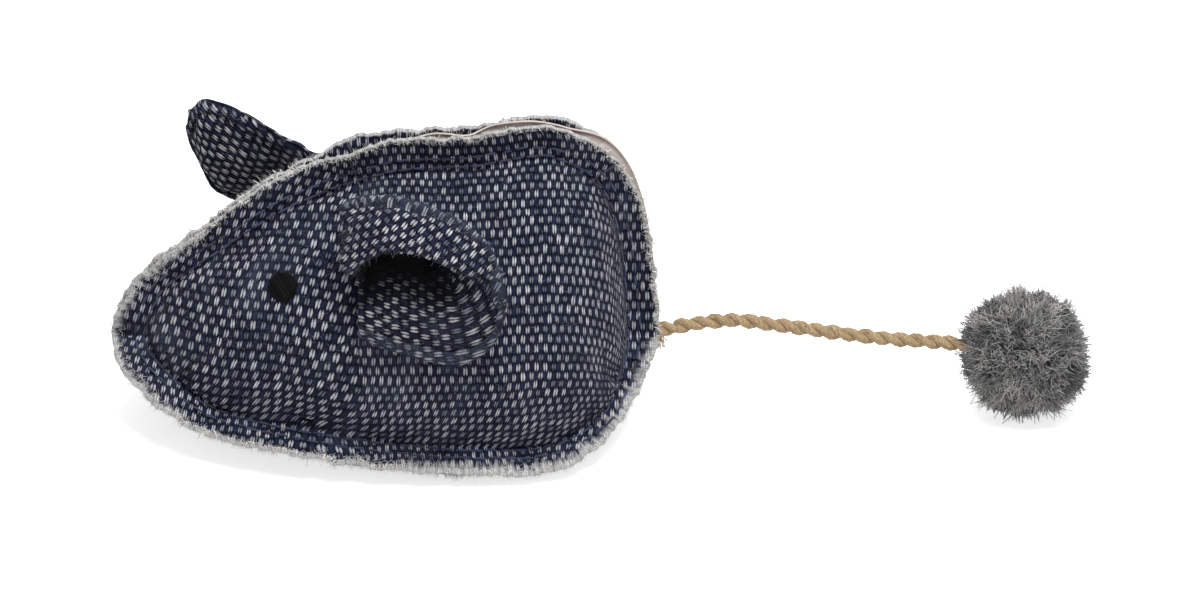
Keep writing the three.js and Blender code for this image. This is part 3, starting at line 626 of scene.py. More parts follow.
def rope(path, length, seed, phase=0.0):
    """Two plies laid round a path; each ply's surface is grooved by its own fibres."""
    steps = len(path)
    _, side, up = frames_along(path)
    at = np.linspace(0, length, steps)
    angle = np.linspace(0, 2 * np.pi, PLY_SIDES, endpoint=False)
    index = np.arange(steps * PLY_SIDES).reshape(steps, PLY_SIDES)
    after = np.roll(index, -1, axis=1)
    quads = np.stack([index[:-1], after[:-1], after[1:], index[1:]], axis=-1).reshape(-1, 4)
    first, last = np.full(PLY_SIDES, index.size), np.full(PLY_SIDES, index.size + 1)
    caps = [np.stack([index[0], after[0], first], axis=-1)[:, ::-1],
            np.stack([index[-1], after[-1], last], axis=-1)]
    parts = []
    for ply in range(2):
        own = np.random.default_rng(seed + ply)
        turn = 2 * np.pi * at / PLY_PITCH + phase + np.pi * ply
        slow, quick = (size * np.sin(at * rate + own.uniform(0, 6))
                       for size, rate in ((0.05, 0.9), (0.03, 2.3)))
        wander = (1 + slow + quick)[:, None]
        centre = path + (side * np.cos(turn)[:, None] + up * np.sin(turn)[:, None]) * (PLY_OFFSET * wander)
        _, across, over = frames_along(centre)
        twist = angle - (2 * np.pi * at / (PLY_PITCH * 0.75))[:, None]
        groove = 1 + 0.06 * np.sin(5 * twist + ply) + 0.035 * np.sin(9 * twist + 2 * ply)
        ring = across[:, None] * np.cos(angle)[:, None] + over[:, None] * np.sin(angle)[:, None]
        points = (centre[:, None] + ring * (PLY_RADIUS * wander * groove)[..., None]).reshape(-1, 3)
        marks = np.stack([(twist / (2 * np.pi)).ravel(), np.repeat(at, PLY_SIDES)], axis=1)
        marks = np.concatenate([marks, np.zeros((2, 2))]) + [ply * 0.37, 40 * ply]
        parts.append((np.concatenate([points, centre[[0, -1]]]), [quads] + caps, {"thread": marks}))
    return parts


def core_ball(centre, radius, rows, columns, seed):
    polar = np.linspace(0, np.pi, rows)[:, None]
    turn = np.linspace(0, 2 * np.pi, columns, endpoint=False)
    ball = np.sin(polar) * np.cos(turn), np.sin(polar) * np.sin(turn), np.cos(polar) * np.ones(columns)
    bump = 1 + 0.06 * Waves(seed, 0.35, 3)(*ball)
    points = np.stack(ball, axis=-1) * (radius * bump)[..., None] + centre
    points[0], points[-1] = points[0].mean(axis=0), points[-1].mean(axis=0)
    return points.reshape(-1, 3), [grid_quads(rows, columns, wrap=True, flip=True)]


def wool_tufts(seed, centre):
    """Tufts of loose wool: curly fibres that fan out from one root, with one tone to a tuft."""
    own = np.random.default_rng(seed)
    # Evenly spread directions on a ball, then shaken
    i = np.arange(TUFTS) + 0.5
    polar, turn = np.arccos(1 - 2 * i / TUFTS), np.pi * (1 + 5 ** 0.5) * i
    direction = np.stack([np.cos(turn) * np.sin(polar), np.sin(turn) * np.sin(polar), np.cos(polar)], axis=1)
    direction = unit(direction + own.normal(0, 0.1, (TUFTS, 3)))
    lump = Waves(5, 1.1, 3)(*direction.T)
    radius = POMPOM / 2 * (1.0 + 0.05 * lump + own.uniform(-0.12, 0.06, TUFTS))
    tone = own.choice([0.08, 0.4, 0.7, 1.0], TUFTS, p=[0.25, 0.3, 0.27, 0.18])
    tuft = np.repeat(np.arange(TUFTS), TUFT_FIBRES)
    count = len(tuft)
    axis = direction[tuft]
    t = np.linspace(0, 1, 5)[None, :, None]
    reach = (0.7 + 0.3 * t) * (radius[tuft] * own.uniform(0.9, 1.01, count))[:, None, None]
    fan = own.normal(0, 1, (count, 3))
    fan -= axis * np.sum(fan * axis, axis=1, keepdims=True)
    wander = own.normal(0, 1, (count, 3))[:, None] * np.sin(t * own.uniform(4, 9, (count, 1, 1)))
    paths = centre + axis[:, None] * reach + fan[:, None] * (0.4 + 0.5 * t) + wander * 0.75 * t
    thickness = own.uniform(0.07, 0.12, (count, 1)) * np.array([1, 1.1, 1.1, 1.0, 0.6])
    paths[..., 2] = np.maximum(paths[..., 2], thickness)
    shade = np.clip(tone[tuft] + own.uniform(-0.12, 0.12, count), 0, 1.1)
    return threads(paths, thickness, 3, np.stack([shade, own.uniform(0, 1, count)], axis=1))


def stray_hairs(route, count=170):
    """Loose jute fibres along the twine."""
    pick = rng.integers(2, 296, count)
    tangent, side, up = frames_along(route)
    around = rng.uniform(0, 2 * np.pi, count)[:, None]
    outward = side[pick] * np.cos(around) + up[pick] * np.sin(around)
    way = tangent[pick] * rng.choice([-1, 1], (count, 1)) * rng.uniform(0.5, 1.4, (count, 1))
    lengths = rng.uniform(0.6, 1.7, count)
    return hairs(route[pick] + outward * 1.15, unit(outward * 0.6 + way), lengths, TWINE_HAIR, 12, 0.5)


route_points = [TAIL_PIVOT + TAIL_REACH * np.array([a, 0, b]) for a, b in ROUTE]
route, route_length = smooth_route(route_points, 300)
tail = make_piece("tail_twine", join(rope(route, route_length, 11) + [stray_hairs(route)]), twine,
                  "tail", "tail_cord")

knot_radius = 2.2
end_direction = unit(route_points[-1] - route_points[-2])
knot_centre = route_points[-1] + end_direction * (GAP + knot_radius)
pompom_centre = np.array([knot_centre[0] + knot_radius, 0, POMPOM / 2 + 0.2])
core_points, core_faces = core_ball(pompom_centre, POMPOM_CORE, 32, 48, 3)
# The core's even dark tone is painted shade in the gaps between the tufts
core = core_points, core_faces, {"thread": np.full((len(core_points), 2), 0.12)}
wound_wool = join([wool_tufts(31, pompom_centre), core])
pompom = make_piece("pompom_yarn", wound_wool, yarn, "tail", "pompom")
pompom_wool = make_piece("pompom_loose_wool", wool_tufts(32, pompom_centre), yarn, "tail")
knot_points, knot_faces = core_ball(knot_centre, 2.3, 16, 20, 8)
knot = knot_points, knot_faces, {"thread": np.stack([np.linspace(0, 3, len(knot_points))] * 2, axis=1)}
pompom_knot = make_piece("pompom_binding", knot, twine, "tail", "pompom_knot")

route_length * MM


# The body's surfaces

def station(along):
    """From nose to rump: x, heights of the spine seam, the belly seam and the keel, and the half width."""
    pole = NOSE_HEIGHT + (RUMP_HEIGHT - NOSE_HEIGHT) * along
    return (-BODY_HALF * np.cos(np.pi * along),
            pole + profile(SPINE_RISE, along) * (SPINE_HEIGHT - pole),
            pole * (1 - profile(BELLY_DROP, along)),
            pole * (1 - profile(KEEL_DROP, along)),
            profile(BELLY_WIDTH, along) * BELLY_SEAM_WIDTH / 2)


def arc(start, stop, bulge, share):
    """Circle arc through two (y, z) points; also the arc length from the start."""
    chord = stop - start
    length = np.maximum(np.linalg.norm(chord, axis=-1), 1e-9)
    sag = np.maximum(bulge * length, 1e-9)
    radius = (length ** 2 / 4 + sag ** 2) / (2 * sag)
    half = np.arcsin(np.clip(length / 2 / radius, -1, 1))
    angle = -half + 2 * half * share
    ahead = chord / length[..., None]
    out = np.stack([ahead[..., 1], -ahead[..., 0]], axis=-1)
    centre = (start + stop) / 2 - out * (radius * np.cos(half))[..., None]
    point = centre + ahead * (radius * np.sin(angle))[..., None] + out * (radius * np.cos(angle))[..., None]
    return point, radius * (angle + half)


def side_point(along, share):
    """A point on the left side, from the spine seam (0) to the belly seam (1), and its arc length."""
    along, share = np.broadcast_arrays(np.asarray(along, float), np.asarray(share, float))
    x, spine, belly, _, half_width = station(along)
    offset = SEAM_HALF_GAP + CLOTH + TAIL_CHANNEL * smoothstep(along, 1 - 2 * STATION_STEP, 1)
    start = np.stack([-offset, spine], axis=-1)
    stop = np.stack([-offset - half_width, belly], axis=-1)
    point, run = arc(start, stop, SIDE_BULGE, share)
    return np.concatenate([x[..., None], point], axis=-1), run


def nearby(along, step=1e-3):
    return np.maximum(along - step, 0), np.minimum(along + step, 1)


def allowance_direction(along, on_spine):
    before, after = nearby(along)
    xb, sb, _, _, wb = station(before)
    xa, sa, _, _, wa = station(after)
    ahead, rise = xa - xb, np.where(on_spine, sa - sb, wa - wb)
    size = np.hypot(ahead, rise)
    tilt = ALLOWANCE_TILT * np.sqrt(np.maximum(np.sin(np.pi * along), 0))
    spine = np.stack([-rise / size, np.zeros_like(size), ahead / size], axis=-1)
    belly = np.stack([-rise / size * np.cos(tilt), -ahead / size * np.cos(tilt), -np.sin(tilt)], axis=-1)
    return np.where(on_spine[..., None], spine, belly)


def allowance_width(along, on_spine):
    return ALLOWANCE * np.where(on_spine, profile(SPINE_ALLOWANCE, along), profile(BELLY_ALLOWANCE, along))


# Columns of the fine grid, so that equator and both seams are all stepped finely
COLUMNS, ROWS, EDGE_ROWS, BACK_ROWS = 384, 158, 14, 17
fine = np.linspace(0, 1, 4001)
lines = [side_point(fine, share)[0] for share in (0.0, EQUATOR_SHARE, 1.0)]
pace = np.max([np.linalg.norm(np.diff(line, axis=0), axis=1) for line in lines], axis=0)
pace = np.concatenate([[0], np.cumsum(pace)])
along_columns = np.interp(np.linspace(0, pace[-1], COLUMNS), pace, fine)
equator = run_along(lines[1])
dart_along = math.acos(-DART_X / BODY_HALF) / math.pi
dart_run = np.interp(dart_along, fine, equator)
apex_b = side_point(dart_along, EQUATOR_SHARE)[1] - side_point(dart_along, APEX_SHARE)[1]


def weave_map(along, run):
    """Distances on the cloth along the weft (a) and along the warp (b), turned ahead of the dart."""
    nose = BODY_HALF * np.minimum(NOSE_START - np.cos(np.pi * along), 0)
    da = np.interp(np.maximum(along, math.acos(NOSE_START) / math.pi), fine, equator) - dart_run + nose
    db = side_point(along, EQUATOR_SHARE)[1] - run - apex_b
    below = smoothstep(-np.degrees(np.arctan2(da, -db)), -25, 55)
    angle = HEAD_TURN * np.where(db > 0, da < 0, below)
    a = da * np.cos(angle) - db * np.sin(angle)
    b = apex_b + db * np.cos(angle) + da * np.sin(angle)
    a = a * (1 - HEAD_CLOSER * smoothstep(-a, -6, 8))
    return a + BELLY_PULL * np.minimum(b + PULL_START, 0) ** 2 / 2, b


def weave_height(a, b):
    """Relief of the cloth, 0 in the gaps and 1 on top of a warp float."""
    def dome(place, half):
        return np.clip(1 - (place / half) ** 2, 0, 1)

    column = np.floor(a / WARP_PITCH)
    across = a / WARP_PITCH - column - 0.5
    pair = (b / WEFT_PITCH - column % 2) / 2 + 0.25
    down = (pair - np.floor(pair) - 0.5) * 2
    warp = np.sqrt(dome(across, 0.56) * dome(down, 0.85))
    weft = 0.7 * np.sqrt(dome(across, 0.75) * dome(1 - np.abs(down), 0.8))
    return np.maximum(warp, weft)


def dart_depth(points, share):
    """How far the cloth is drawn in along the dart, from the spine to its apex, then a soft crease."""
    off = points[..., 0] - DART_X + 5.5 * np.clip((share - APEX_SHARE) / (1 - APEX_SHARE), 0, 1)
    sharp = np.exp(-np.abs(off) / 0.5) * 0.6 + hill(off, 0, 3.2) * 0.5
    fade = 1 - smoothstep(share, APEX_SHARE - 0.05, APEX_SHARE + 0.06)
    return sharp * fade + hill(off, 0, 2.2) * 0.3 * between(share, APEX_SHARE - 0.1, APEX_SHARE, 0.86, 0.98)


def allowance_sway(loop_run, total, base, on_spine, far):
    """How far the seam allowance leans away from the middle plane, at its edge, round the loop."""
    phase = 2 * np.pi * loop_run / total
    own = np.random.default_rng(71 if far else 70)
    sway = 0.6
    for k in range(3, 15):
        sway = sway + own.normal(0, 1.0 / (1 + 0.22 * k)) * 0.34 * np.sin(k * phase + own.uniform(0, 6.3))
    # Ahead of the dart both spine allowances lie together; behind it they stand apart
    x = base[:, 0]
    together = (1 - smoothstep(x, DART_X - 6, DART_X)) * on_spine
    sway = sway * (1 - 0.75 * together) - 0.45 * together + hill(x, DART_X + 1.0, 4.0) * on_spine * 1.4
    sway *= np.where(on_spine, 1.0, 0.55)
    return sway * (1 - 0.9 * hill(x, BODY_HALF, 2.5) * hill(base[:, 2], RUMP_HEIGHT, 6))


def panel_grid(rows):
    """Shares, points, arc lengths and outward normals of one side of the body."""
    along, share = np.meshgrid(along_columns, np.linspace(0, 1, rows), indexing="ij")
    points, run = side_point(along, share)
    normal = grid_normals(points)
    normal[0], normal[-1] = [-1, 0, 0], [1, 0, 0]
    return along, share, points, run, normal


def rim_index(rows):
    """Point numbers round a panel's grid: along the spine to the rump, back along the belly seam."""
    spine = np.arange(COLUMNS) * rows
    return np.concatenate([spine, (spine + rows - 1)[-2:0:-1]])


def edge_weave(base, direction, on_spine, a, b):
    """Where the allowance's threads start on the cloth's map, and how they run outward."""
    ab = np.stack([a, b], axis=1)
    ahead = np.roll(ab, -1, axis=0) - np.roll(ab, 1, axis=0)
    out = unit(smoothed(np.stack([-ahead[:, 1], ahead[:, 0]], axis=1), 30))
    # Round the nose the cloth's threads keep their direction
    rise = np.sqrt(np.clip(1 - direction[:, 0] ** 2, 0, 1)) * np.where(on_spine, 1, -1)
    turn = HEAD_TURN * (base[:, 0] < 0)
    straight = np.stack([direction[:, 0] * np.cos(turn) - rise * np.sin(turn),
                         rise * np.cos(turn) + direction[:, 0] * np.sin(turn)], axis=1)
    nose = smoothstep(-base[:, 0] / BODY_HALF, NOSE_START, 0.94)[:, None]
    return ab, out * (1 - nose) + straight * nose


def side_panel(mirror):
    """One side of the body with its seam allowance, closed by a rough back face."""
    along, share, points, run, normal = panel_grid(ROWS)
    a, b = weave_map(along, run)
    seam_near = np.minimum(run, run[:, -1:] - run)
    height = (weave_height(a, b) - 0.5) * RELIEF * smoothstep(BODY_HALF - np.abs(points[..., 0]), 0.0, 0.6)
    lumps = 0.28 * Waves(21 + mirror, 17)(a, b) + 0.12 * Waves(23 + mirror, 7)(a, b)
    pucker = 0.2 * Waves(25 + mirror, 5.0)(a, b * 0.3) * np.exp(-seam_near / 3.0)
    pull = dart_depth(points, share) * smoothstep(run, 0.0, 2.0)
    outer = points + normal * ((height + lumps - pull + pucker) * smoothstep(seam_near, 0.0, 1.6))[..., None]

    # The allowance leaves the loop round the panel; its corners at nose and rump are softened
    loop = rim_index(ROWS)
    lap = len(loop)
    loop_along = np.concatenate([along_columns, along_columns[-2:0:-1]])
    on_spine = np.arange(lap) < COLUMNS
    base = points.reshape(-1, 3)[loop]
    direction = unit(smoothed(allowance_direction(loop_along, on_spine), 30))
    width = smoothed(allowance_width(loop_along, on_spine), 30)
    step = np.linalg.norm(np.roll(base, -1, axis=0) - base, axis=1)
    loop_run, total = np.cumsum(step) - step, step.sum()
    ahead = unit(np.roll(base, -1, axis=0) - np.roll(base, 1, axis=0))
    face = unit(np.cross(ahead, direction))
    ab, out_ab = edge_weave(base, direction, on_spine, a.ravel()[loop], b.ravel()[loop])
    sway = allowance_sway(loop_run, total, base, on_spine, mirror)
    ragged = 0.16 * Waves(41 + mirror, 5.0, 1)(loop_run) + 0.1 * Waves(43 + mirror, 1.5, 1)(loop_run)
    edge = width - 0.15 + ragged
    t = np.linspace(0, 1, EDGE_ROWS + 1)[1:, None]
    reach = edge * t
    ring = base + direction * reach[..., None]
    # Round the rump the allowance's warp stands upright
    x = base[:, 0]
    rump = x > 0.86 * BODY_HALF
    upright = ring[..., 2] * math.cos(ELEVATION) + ring[..., 1] * math.sin(ELEVATION)
    ring_a = np.where(rump, ring[..., 0], ab[:, 0] + out_ab[:, 0] * reach)
    ring_b = np.where(rump, upright, ab[:, 1] + out_ab[:, 1] * reach)
    shift = sway * t ** 1.6 + 0.22 * Waves(45 + mirror, 9.0, 1)(loop_run) * np.sin(np.pi * t)
    relief = (weave_height(ring_a, ring_b) - 0.5) * RELIEF * smoothstep(reach, 0.3, 1.2)
    # The stitches press a groove into the allowance
    front = ring + face * (shift + relief - 0.16 * hill(reach, 2.0, 0.35))[..., None]
    back = ring + face * (shift - CLOTH + 0.1)[..., None]

    _, inner_share, inner, _, inner_normal = panel_grid(BACK_ROWS)
    pulled = dart_depth(inner, inner_share) * smoothstep(np.minimum(inner_share, 1 - inner_share), 0.0, 0.1)
    deep = CLOTH + np.sin(np.pi * inner_share) ** 0.5 + pulled * 1.3
    inner = (inner - inner_normal * deep[..., None]).reshape(-1, 3)
    inner_loop = rim_index(BACK_ROWS)
    inner[inner_loop] = base - face * CLOTH
    for block, rows in ((outer.reshape(-1, 3), ROWS), (inner, BACK_ROWS)):
        block[:rows] = block[0]
        block[-rows:] = block[-rows]

    front_start = COLUMNS * ROWS
    back_start = front_start + EDGE_ROWS * lap
    inner_start = back_start + EDGE_ROWS * lap

    def closed_rows(first, start):
        rows = np.concatenate([[first], start + np.arange(EDGE_ROWS * lap).reshape(EDGE_ROWS, lap)])
        return np.concatenate([rows, rows[:, :1]], axis=1)

    front_rows, back_rows = closed_rows(loop, front_start), closed_rows(inner_start + inner_loop, back_start)
    faces = [grid_quads(COLUMNS, ROWS)]
    for k in range(EDGE_ROWS):
        faces += [bridge(front_rows[k], front_rows[k + 1]), bridge(back_rows[k], back_rows[k + 1], flip=True)]
    faces += [bridge(front_rows[-1], back_rows[-1]),
              grid_quads(COLUMNS, BACK_ROWS, start=inner_start, flip=True)]
    # Each pole collapses to one vertex number so that no thin faces are left
    for start, rows in ((0, ROWS), (inner_start, BACK_ROWS)):
        for pole in (start, start + (COLUMNS - 1) * rows):
            for group in faces:
                group[(group >= pole) & (group < pole + rows)] = pole

    ring_map = np.stack([ring_a.ravel(), ring_b.ravel()], axis=1)
    outer_map = np.stack([a.ravel(), b.ravel()], axis=1)
    cloth_map = np.concatenate([outer_map, ring_map, ring_map, np.zeros((len(inner), 2))])
    weave = cloth_map / [WARP_PITCH, WEFT_PITCH]
    # The pale fuzzy band is wider at the nose and narrower on the spine; along the rear of the belly seam it
    # is widened as painted light, for light bounced up from the floor
    band = (1 + 1.0 * (1 - smoothstep(x, -40, -30)) + 2.2 * ~on_spine * between(x, 0, 8, 44, 49)
            - 0.6 * on_spine * between(x, -36, -28, 40, 48))
    ring_edge = np.stack([((edge - reach) / band).ravel(), np.tile(loop_run, EDGE_ROWS)], axis=1)
    open_cloth = [np.full((count, 2), 9.0) for count in (front_start, len(inner))]
    edge_map = np.concatenate([open_cloth[0], ring_edge, ring_edge, open_cloth[1]])
    info = {"base": base, "direction": direction, "face": face, "ahead": ahead, "tip": front[-1],
            "tip_back": back[-1], "cloth": outer, "cloth_normal": normal, "edge": edge, "sway": sway,
            "run": loop_run, "total": total}
    part = (np.concatenate([block.reshape(-1, 3) for block in (outer, front, back, inner)]), faces,
            {"weave": weave, "edge": edge_map})
    if mirror:
        part = mirrored(part)
        info = {key: value * MIRROR if np.shape(value)[-1:] == (3,) else value for key, value in info.items()}
    return part, info


# Stitches and fringe round each panel

def loop_samples(info, at, *keys):
    """Values of a panel's loop at given distances along it."""
    run = np.append(info["run"], info["total"])
    at = np.mod(at, info["total"])
    samples = []
    for key in keys:
        values = np.concatenate([info[key], info[key][:1]])
        columns = values[:, None] if values.ndim == 1 else values
        sample = np.stack([np.interp(at, run, column) for column in columns.T], axis=-1)
        samples.append(sample[..., 0] if values.ndim == 1 else sample)
    return samples


def stitch_row(info, reach, pitch, seed, length=2.1, radius=0.2):
    own = np.random.default_rng(seed)
    count = int(info["total"] / pitch)
    starts = np.arange(count) * info["total"] / count + own.uniform(-0.12, 0.12, count)
    t = np.linspace(0, 1, 7)
    at = starts[:, None] + t * length * own.uniform(0.85, 1.1, (count, 1))
    base, out, face, edge, sway = loop_samples(info, at, "base", "direction", "face", "edge", "sway")
    place = reach + own.uniform(-0.15, 0.15, (count, 1))
    lift = sway * np.clip(place / edge, 0, 1) ** 1.6 + 0.05 + 0.16 * np.sin(np.pi * t) ** 0.5
    paths = base + out * place[..., None] + face * lift[..., None]
    return threads(paths, radius * np.array([0.6, 0.95, 1.05, 1.05, 1.05, 0.95, 0.6]), 6, chances(own, count))


def fringe(info, key, pitch, low, high, seed):
    """Loose cut ends of the weave's threads along an edge."""
    own = np.random.default_rng(seed)
    count = int(info["total"] / pitch)
    at = np.arange(count) * info["total"] / count + own.uniform(-0.1, 0.1, count)
    start, out, face, ahead = loop_samples(info, at, key, "direction", "face", "ahead")
    x, upward = start[:, 0], out[:, 2] > 0.3
    clump = Waves(seed + 1, 3.5, 1)(at)
    tufts = smoothstep(Waves(seed + 9, 3.2, 1)(at), -0.6, 1.1)
    trimmed = between(x, -36, -30, 38, 44) * upward
    sparse = np.maximum(trimmed * smoothstep(x, -14, -6), between(x, -6, 4, 40, 46) * ~upward)
    calm = (1 - 0.35 * trimmed) * (1 - 0.4 * sparse) * (0.35 + 0.95 * tufts)
    nose = smoothstep(-x, 34, 44)
    length = low + (high - low) * own.uniform(0, 1, count) ** 1.4 * (0.8 + 0.35 * clump)
    length = length * calm * (1 + 0.8 * nose)
    lean = out + ahead * own.normal(0, 0.55, (count, 1)) * calm[:, None]
    lean = unit(lean + face * own.normal(0, 0.5, (count, 1)) * calm[:, None])
    t = np.linspace(0, 1, 6)[:, None]
    bend = own.normal(0, 1, (count, 3))
    paths = (start - out * 0.7)[:, None] + lean[:, None] * (t * (length + 0.7)[:, None, None])
    paths = paths + bend[:, None] * t ** 2 * 0.34
    paths[..., 2] = np.maximum(paths[..., 2], CUT_END)
    keep = own.uniform(0, 1, count) < (0.45 + 0.55 * tufts) * (1 - 0.55 * sparse)
    count = int(keep.sum())
    radii = CUT_END * ((1 - 0.45 * nose[keep]) * own.uniform(0.5, 1.3, count))[:, None]
    values = np.stack([np.clip(own.normal(0.7, 0.35, count), 0, 1), own.uniform(0, 1, count)], axis=1)
    return threads(paths[keep], radii * np.array([1, 1.1, 1, 0.9, 0.75, 0.4]), 4, values)


def fuzz(info, key, count, low, high, seed):
    """Fine hairs that stand from an edge in all directions, in a wider band at nose and belly."""
    own = np.random.default_rng(seed)
    at = own.uniform(0, info["total"], count)
    place, out, face = loop_samples(info, at, key, "direction", "face")
    x = place[:, 0]
    under = smoothstep(-out[:, 1] * np.sign(face[:, 2] + 1e-9), 0.3, 0.8)
    under = under * smoothstep(-np.abs(x - 8), -34, -14)
    band = 0.7 + 1.5 * smoothstep(-x, 30, 42) + 0.9 * under
    lean = unit(out * own.uniform(-0.2, 1.0, (count, 1)) + own.normal(0, 0.8, (count, 3)))
    start = place + out * (own.uniform(-1, 0.35, count) * band)[:, None]
    start = start + face * own.uniform(0.0, 0.2, (count, 1))
    keep = own.uniform(0, 1, count) > 0.75 * between(x, -36, -30, -12, -8) * (out[:, 2] > 0.3)
    return hairs(start[keep], lean[keep], own.uniform(low, high, count)[keep], FUZZ_HAIR, seed + 5, 0.8, 4)


def nap(points, normals, count, seed, bare):
    """Short hairs spread evenly over a grid's surface, none where it is bare."""
    own = np.random.default_rng(seed)
    area = np.linalg.norm(np.cross(np.gradient(points, axis=0), np.gradient(points, axis=1)), axis=-1)
    area = (area * ~bare).ravel()
    pick = own.choice(len(area), count, p=area / area.sum())
    lean = normals.reshape(-1, 3)[pick] * own.uniform(0.05, 0.6, (count, 1)) + own.normal(0, 0.6, (count, 3))
    start = points.reshape(-1, 3)[pick] + own.normal(0, 0.15, (count, 3))
    return hairs(start, unit(lean), own.uniform(0.4, 1.2, count), NAP_HAIR, seed + 1, 0.9, 4)


EYE_CELL = (int(np.argmin(np.abs(along_columns - EYE_ALONG))), int(EYE_ARC * (ROWS - 1)))
for mirror, side in enumerate(("left", "right")):
    part, info = side_panel(mirror)
    make_piece("woven_side_panel_" + side, part, body_cloth, "body", "side_panel_" + side)
    seed = 100 + 100 * mirror
    rows = [stitch_row(info, 0.75, 2.6, seed), stitch_row(info, 2.6, 2.7, seed + 1)]
    make_piece("seam_stitches_" + side, join(rows), navy_thread, "body")
    ends = [fringe(info, "tip", 0.25, 0.05, 0.8, seed + 2), fringe(info, "tip_back", 0.3, 0.0, 0.7, seed + 3),
            fuzz(info, "tip", 3700, 0.35, 1.1, seed + 4)]
    make_piece("raw_edge_" + side, join(ends), fray_thread, "body")
    near_eye = np.abs(info["cloth"] - info["cloth"][EYE_CELL]).max(axis=-1) < 4
    hair = nap(info["cloth"], info["cloth_normal"], 3600, 500 + 10 * mirror, near_eye)
    make_piece("cloth_nap_" + side, hair, nap_hair, "body")


# Belly panel

def belly_panel(rows=220, across=96, edge_rows=9):
    first, last = math.pi * 2 * STATION_STEP, math.pi * (1 - 2 * STATION_STEP)
    along = np.arccos(np.linspace(math.cos(first), math.cos(last), rows)) / math.pi
    x, _, _, keel, _ = station(along)
    at_belly = np.zeros(rows, bool)
    out = allowance_direction(along, at_belly)
    before, after = nearby(along)
    ahead = unit(side_point(before, 1)[0] - side_point(after, 1)[0])
    face = unit(np.cross(ahead, out))
    upper = side_point(along, 1)[0] - face * (CLOTH + GAP)
    start = upper[:, 1:]
    bulge = np.maximum(upper[:, 2] - keel - CLOTH, GAP) / (-2 * upper[:, 1])
    share = np.linspace(0, 1, across)[:, None]
    # The arc bulges downward from left to right
    point, _ = arc(start, start * [-1, 1], bulge, share)
    section = np.concatenate([np.tile(upper[:, None, :1], (1, across, 1)), point.transpose(1, 0, 2)], axis=2)
    section[..., 2] = np.maximum(section[..., 2], CLOTH)
    trim = smoothstep(np.minimum(along, 1 - along), STATION_STEP, 5 * STATION_STEP)
    edge = ((allowance_width(along, at_belly) - 1.5) * trim)[:, None]
    s = np.linspace(1, 0, edge_rows + 1)[:-1]
    sway = 0.35 * Waves(61, 12.0, 1)(x)[:, None]
    left = upper[:, None] + out[:, None] * (edge * s)[..., None] - face[:, None] * (sway * s ** 2)[..., None]
    sheet = np.concatenate([left, section, left[:, ::-1] * MIRROR], axis=1)
    b = run_along(sheet, 1)
    b -= b[:, -1:] / 2
    a = np.broadcast_to(run_along(section[:, across // 2])[:, None], b.shape)
    # Thickness is laid off away from the filling: down under the belly, down and out at the seams
    normal = grid_normals(sheet)
    normal *= -np.sign(normal[rows // 2, (across + 2 * edge_rows) // 2, 2])
    for _ in range(2):
        normal[:, 1:-1] = (normal[:, :-2] + 2 * normal[:, 1:-1] + normal[:, 2:]) / 4
    relief = (weave_height(a, b) - 1.0) * BELLY_RELIEF
    lower = sheet + unit(normal) * (CLOTH + relief)[..., None]
    lower[..., 2] = np.maximum(lower[..., 2], 0.02 - relief * 0.6)
    weave = np.stack([a.ravel(), b.ravel()], axis=1) / [WARP_PITCH, WEFT_PITCH]
    from_edge = np.minimum(b - b[:, :1], b[:, -1:] - b)
    edge_map = np.stack([from_edge.ravel(), a.ravel()], axis=1)
    layers = {"weave": np.tile(weave, (2, 1)), "edge": np.tile(edge_map, (2, 1))}
    return (*slab(sheet, lower), layers), {"edges": (lower[:, 0], sheet[:, 0], out), "run": a[:, 0]}


def belly_ends(info, side, cut=620, fine_hairs=1500):
    """Cut thread ends and fuzz along one edge of the belly panel."""
    own = np.random.default_rng(300 + side)
    flip = np.array([1, side, 1])
    run = info["run"]
    at = np.sort(own.uniform(run[0] + 2, run[-1] - 2, cut))
    low, high, out = (np.stack([np.interp(at, run, column) for column in values.T], axis=-1)
                      for values in info["edges"])
    start = low + (high - low) * own.uniform(0, 1, (cut, 1))
    lean = unit(out + own.normal(0, 0.4, (cut, 3)))
    lengths = own.uniform(0.4, 1.0, cut)
    ends = hairs((start - out * 0.4) * flip, lean * flip, lengths, CUT_END, 305 + side, 0.5, 5, 4)
    pick = own.integers(0, cut, fine_hairs)
    lean = unit(out[pick] + own.normal(0, 0.8, (fine_hairs, 3)))
    lengths = own.uniform(0.4, 1.2, fine_hairs)
    return [ends, hairs(start[pick] * flip, lean * flip, lengths, FUZZ_HAIR, 309 + side, 0.8, 4)]


part, info = belly_panel()
make_piece("woven_belly_panel", part, belly_cloth, "body", "belly_panel")
belly_edges = join(belly_ends(info, 1) + belly_ends(info, -1))
make_piece("raw_edge_belly", belly_edges, fray_thread, "body")


# Ears

ear_origin = side_point(EAR_STATION, EAR_ARC)[0]
ear_up = np.array([0, math.cos(EAR_TILT), math.sin(EAR_TILT)])
ear_out = np.array([0, -math.sin(EAR_TILT), math.cos(EAR_TILT)])


def panel_height(ahead, up):
    """Height of the side panel over the ear's plane, found by halving."""
    share = np.arccos(np.clip(-(ear_origin[0] + ahead) / BODY_HALF, -1, 1)) / np.pi
    wanted = ear_origin @ ear_up + up
    high, low = np.zeros_like(ahead), np.ones_like(ahead)
    for _ in range(22):
        middle = (high + low) / 2
        above = side_point(share, middle)[0] @ ear_up > wanted
        high, low = np.where(above, middle, high), np.where(above, low, middle)
    return (side_point(share, low)[0] - ear_origin) @ ear_out


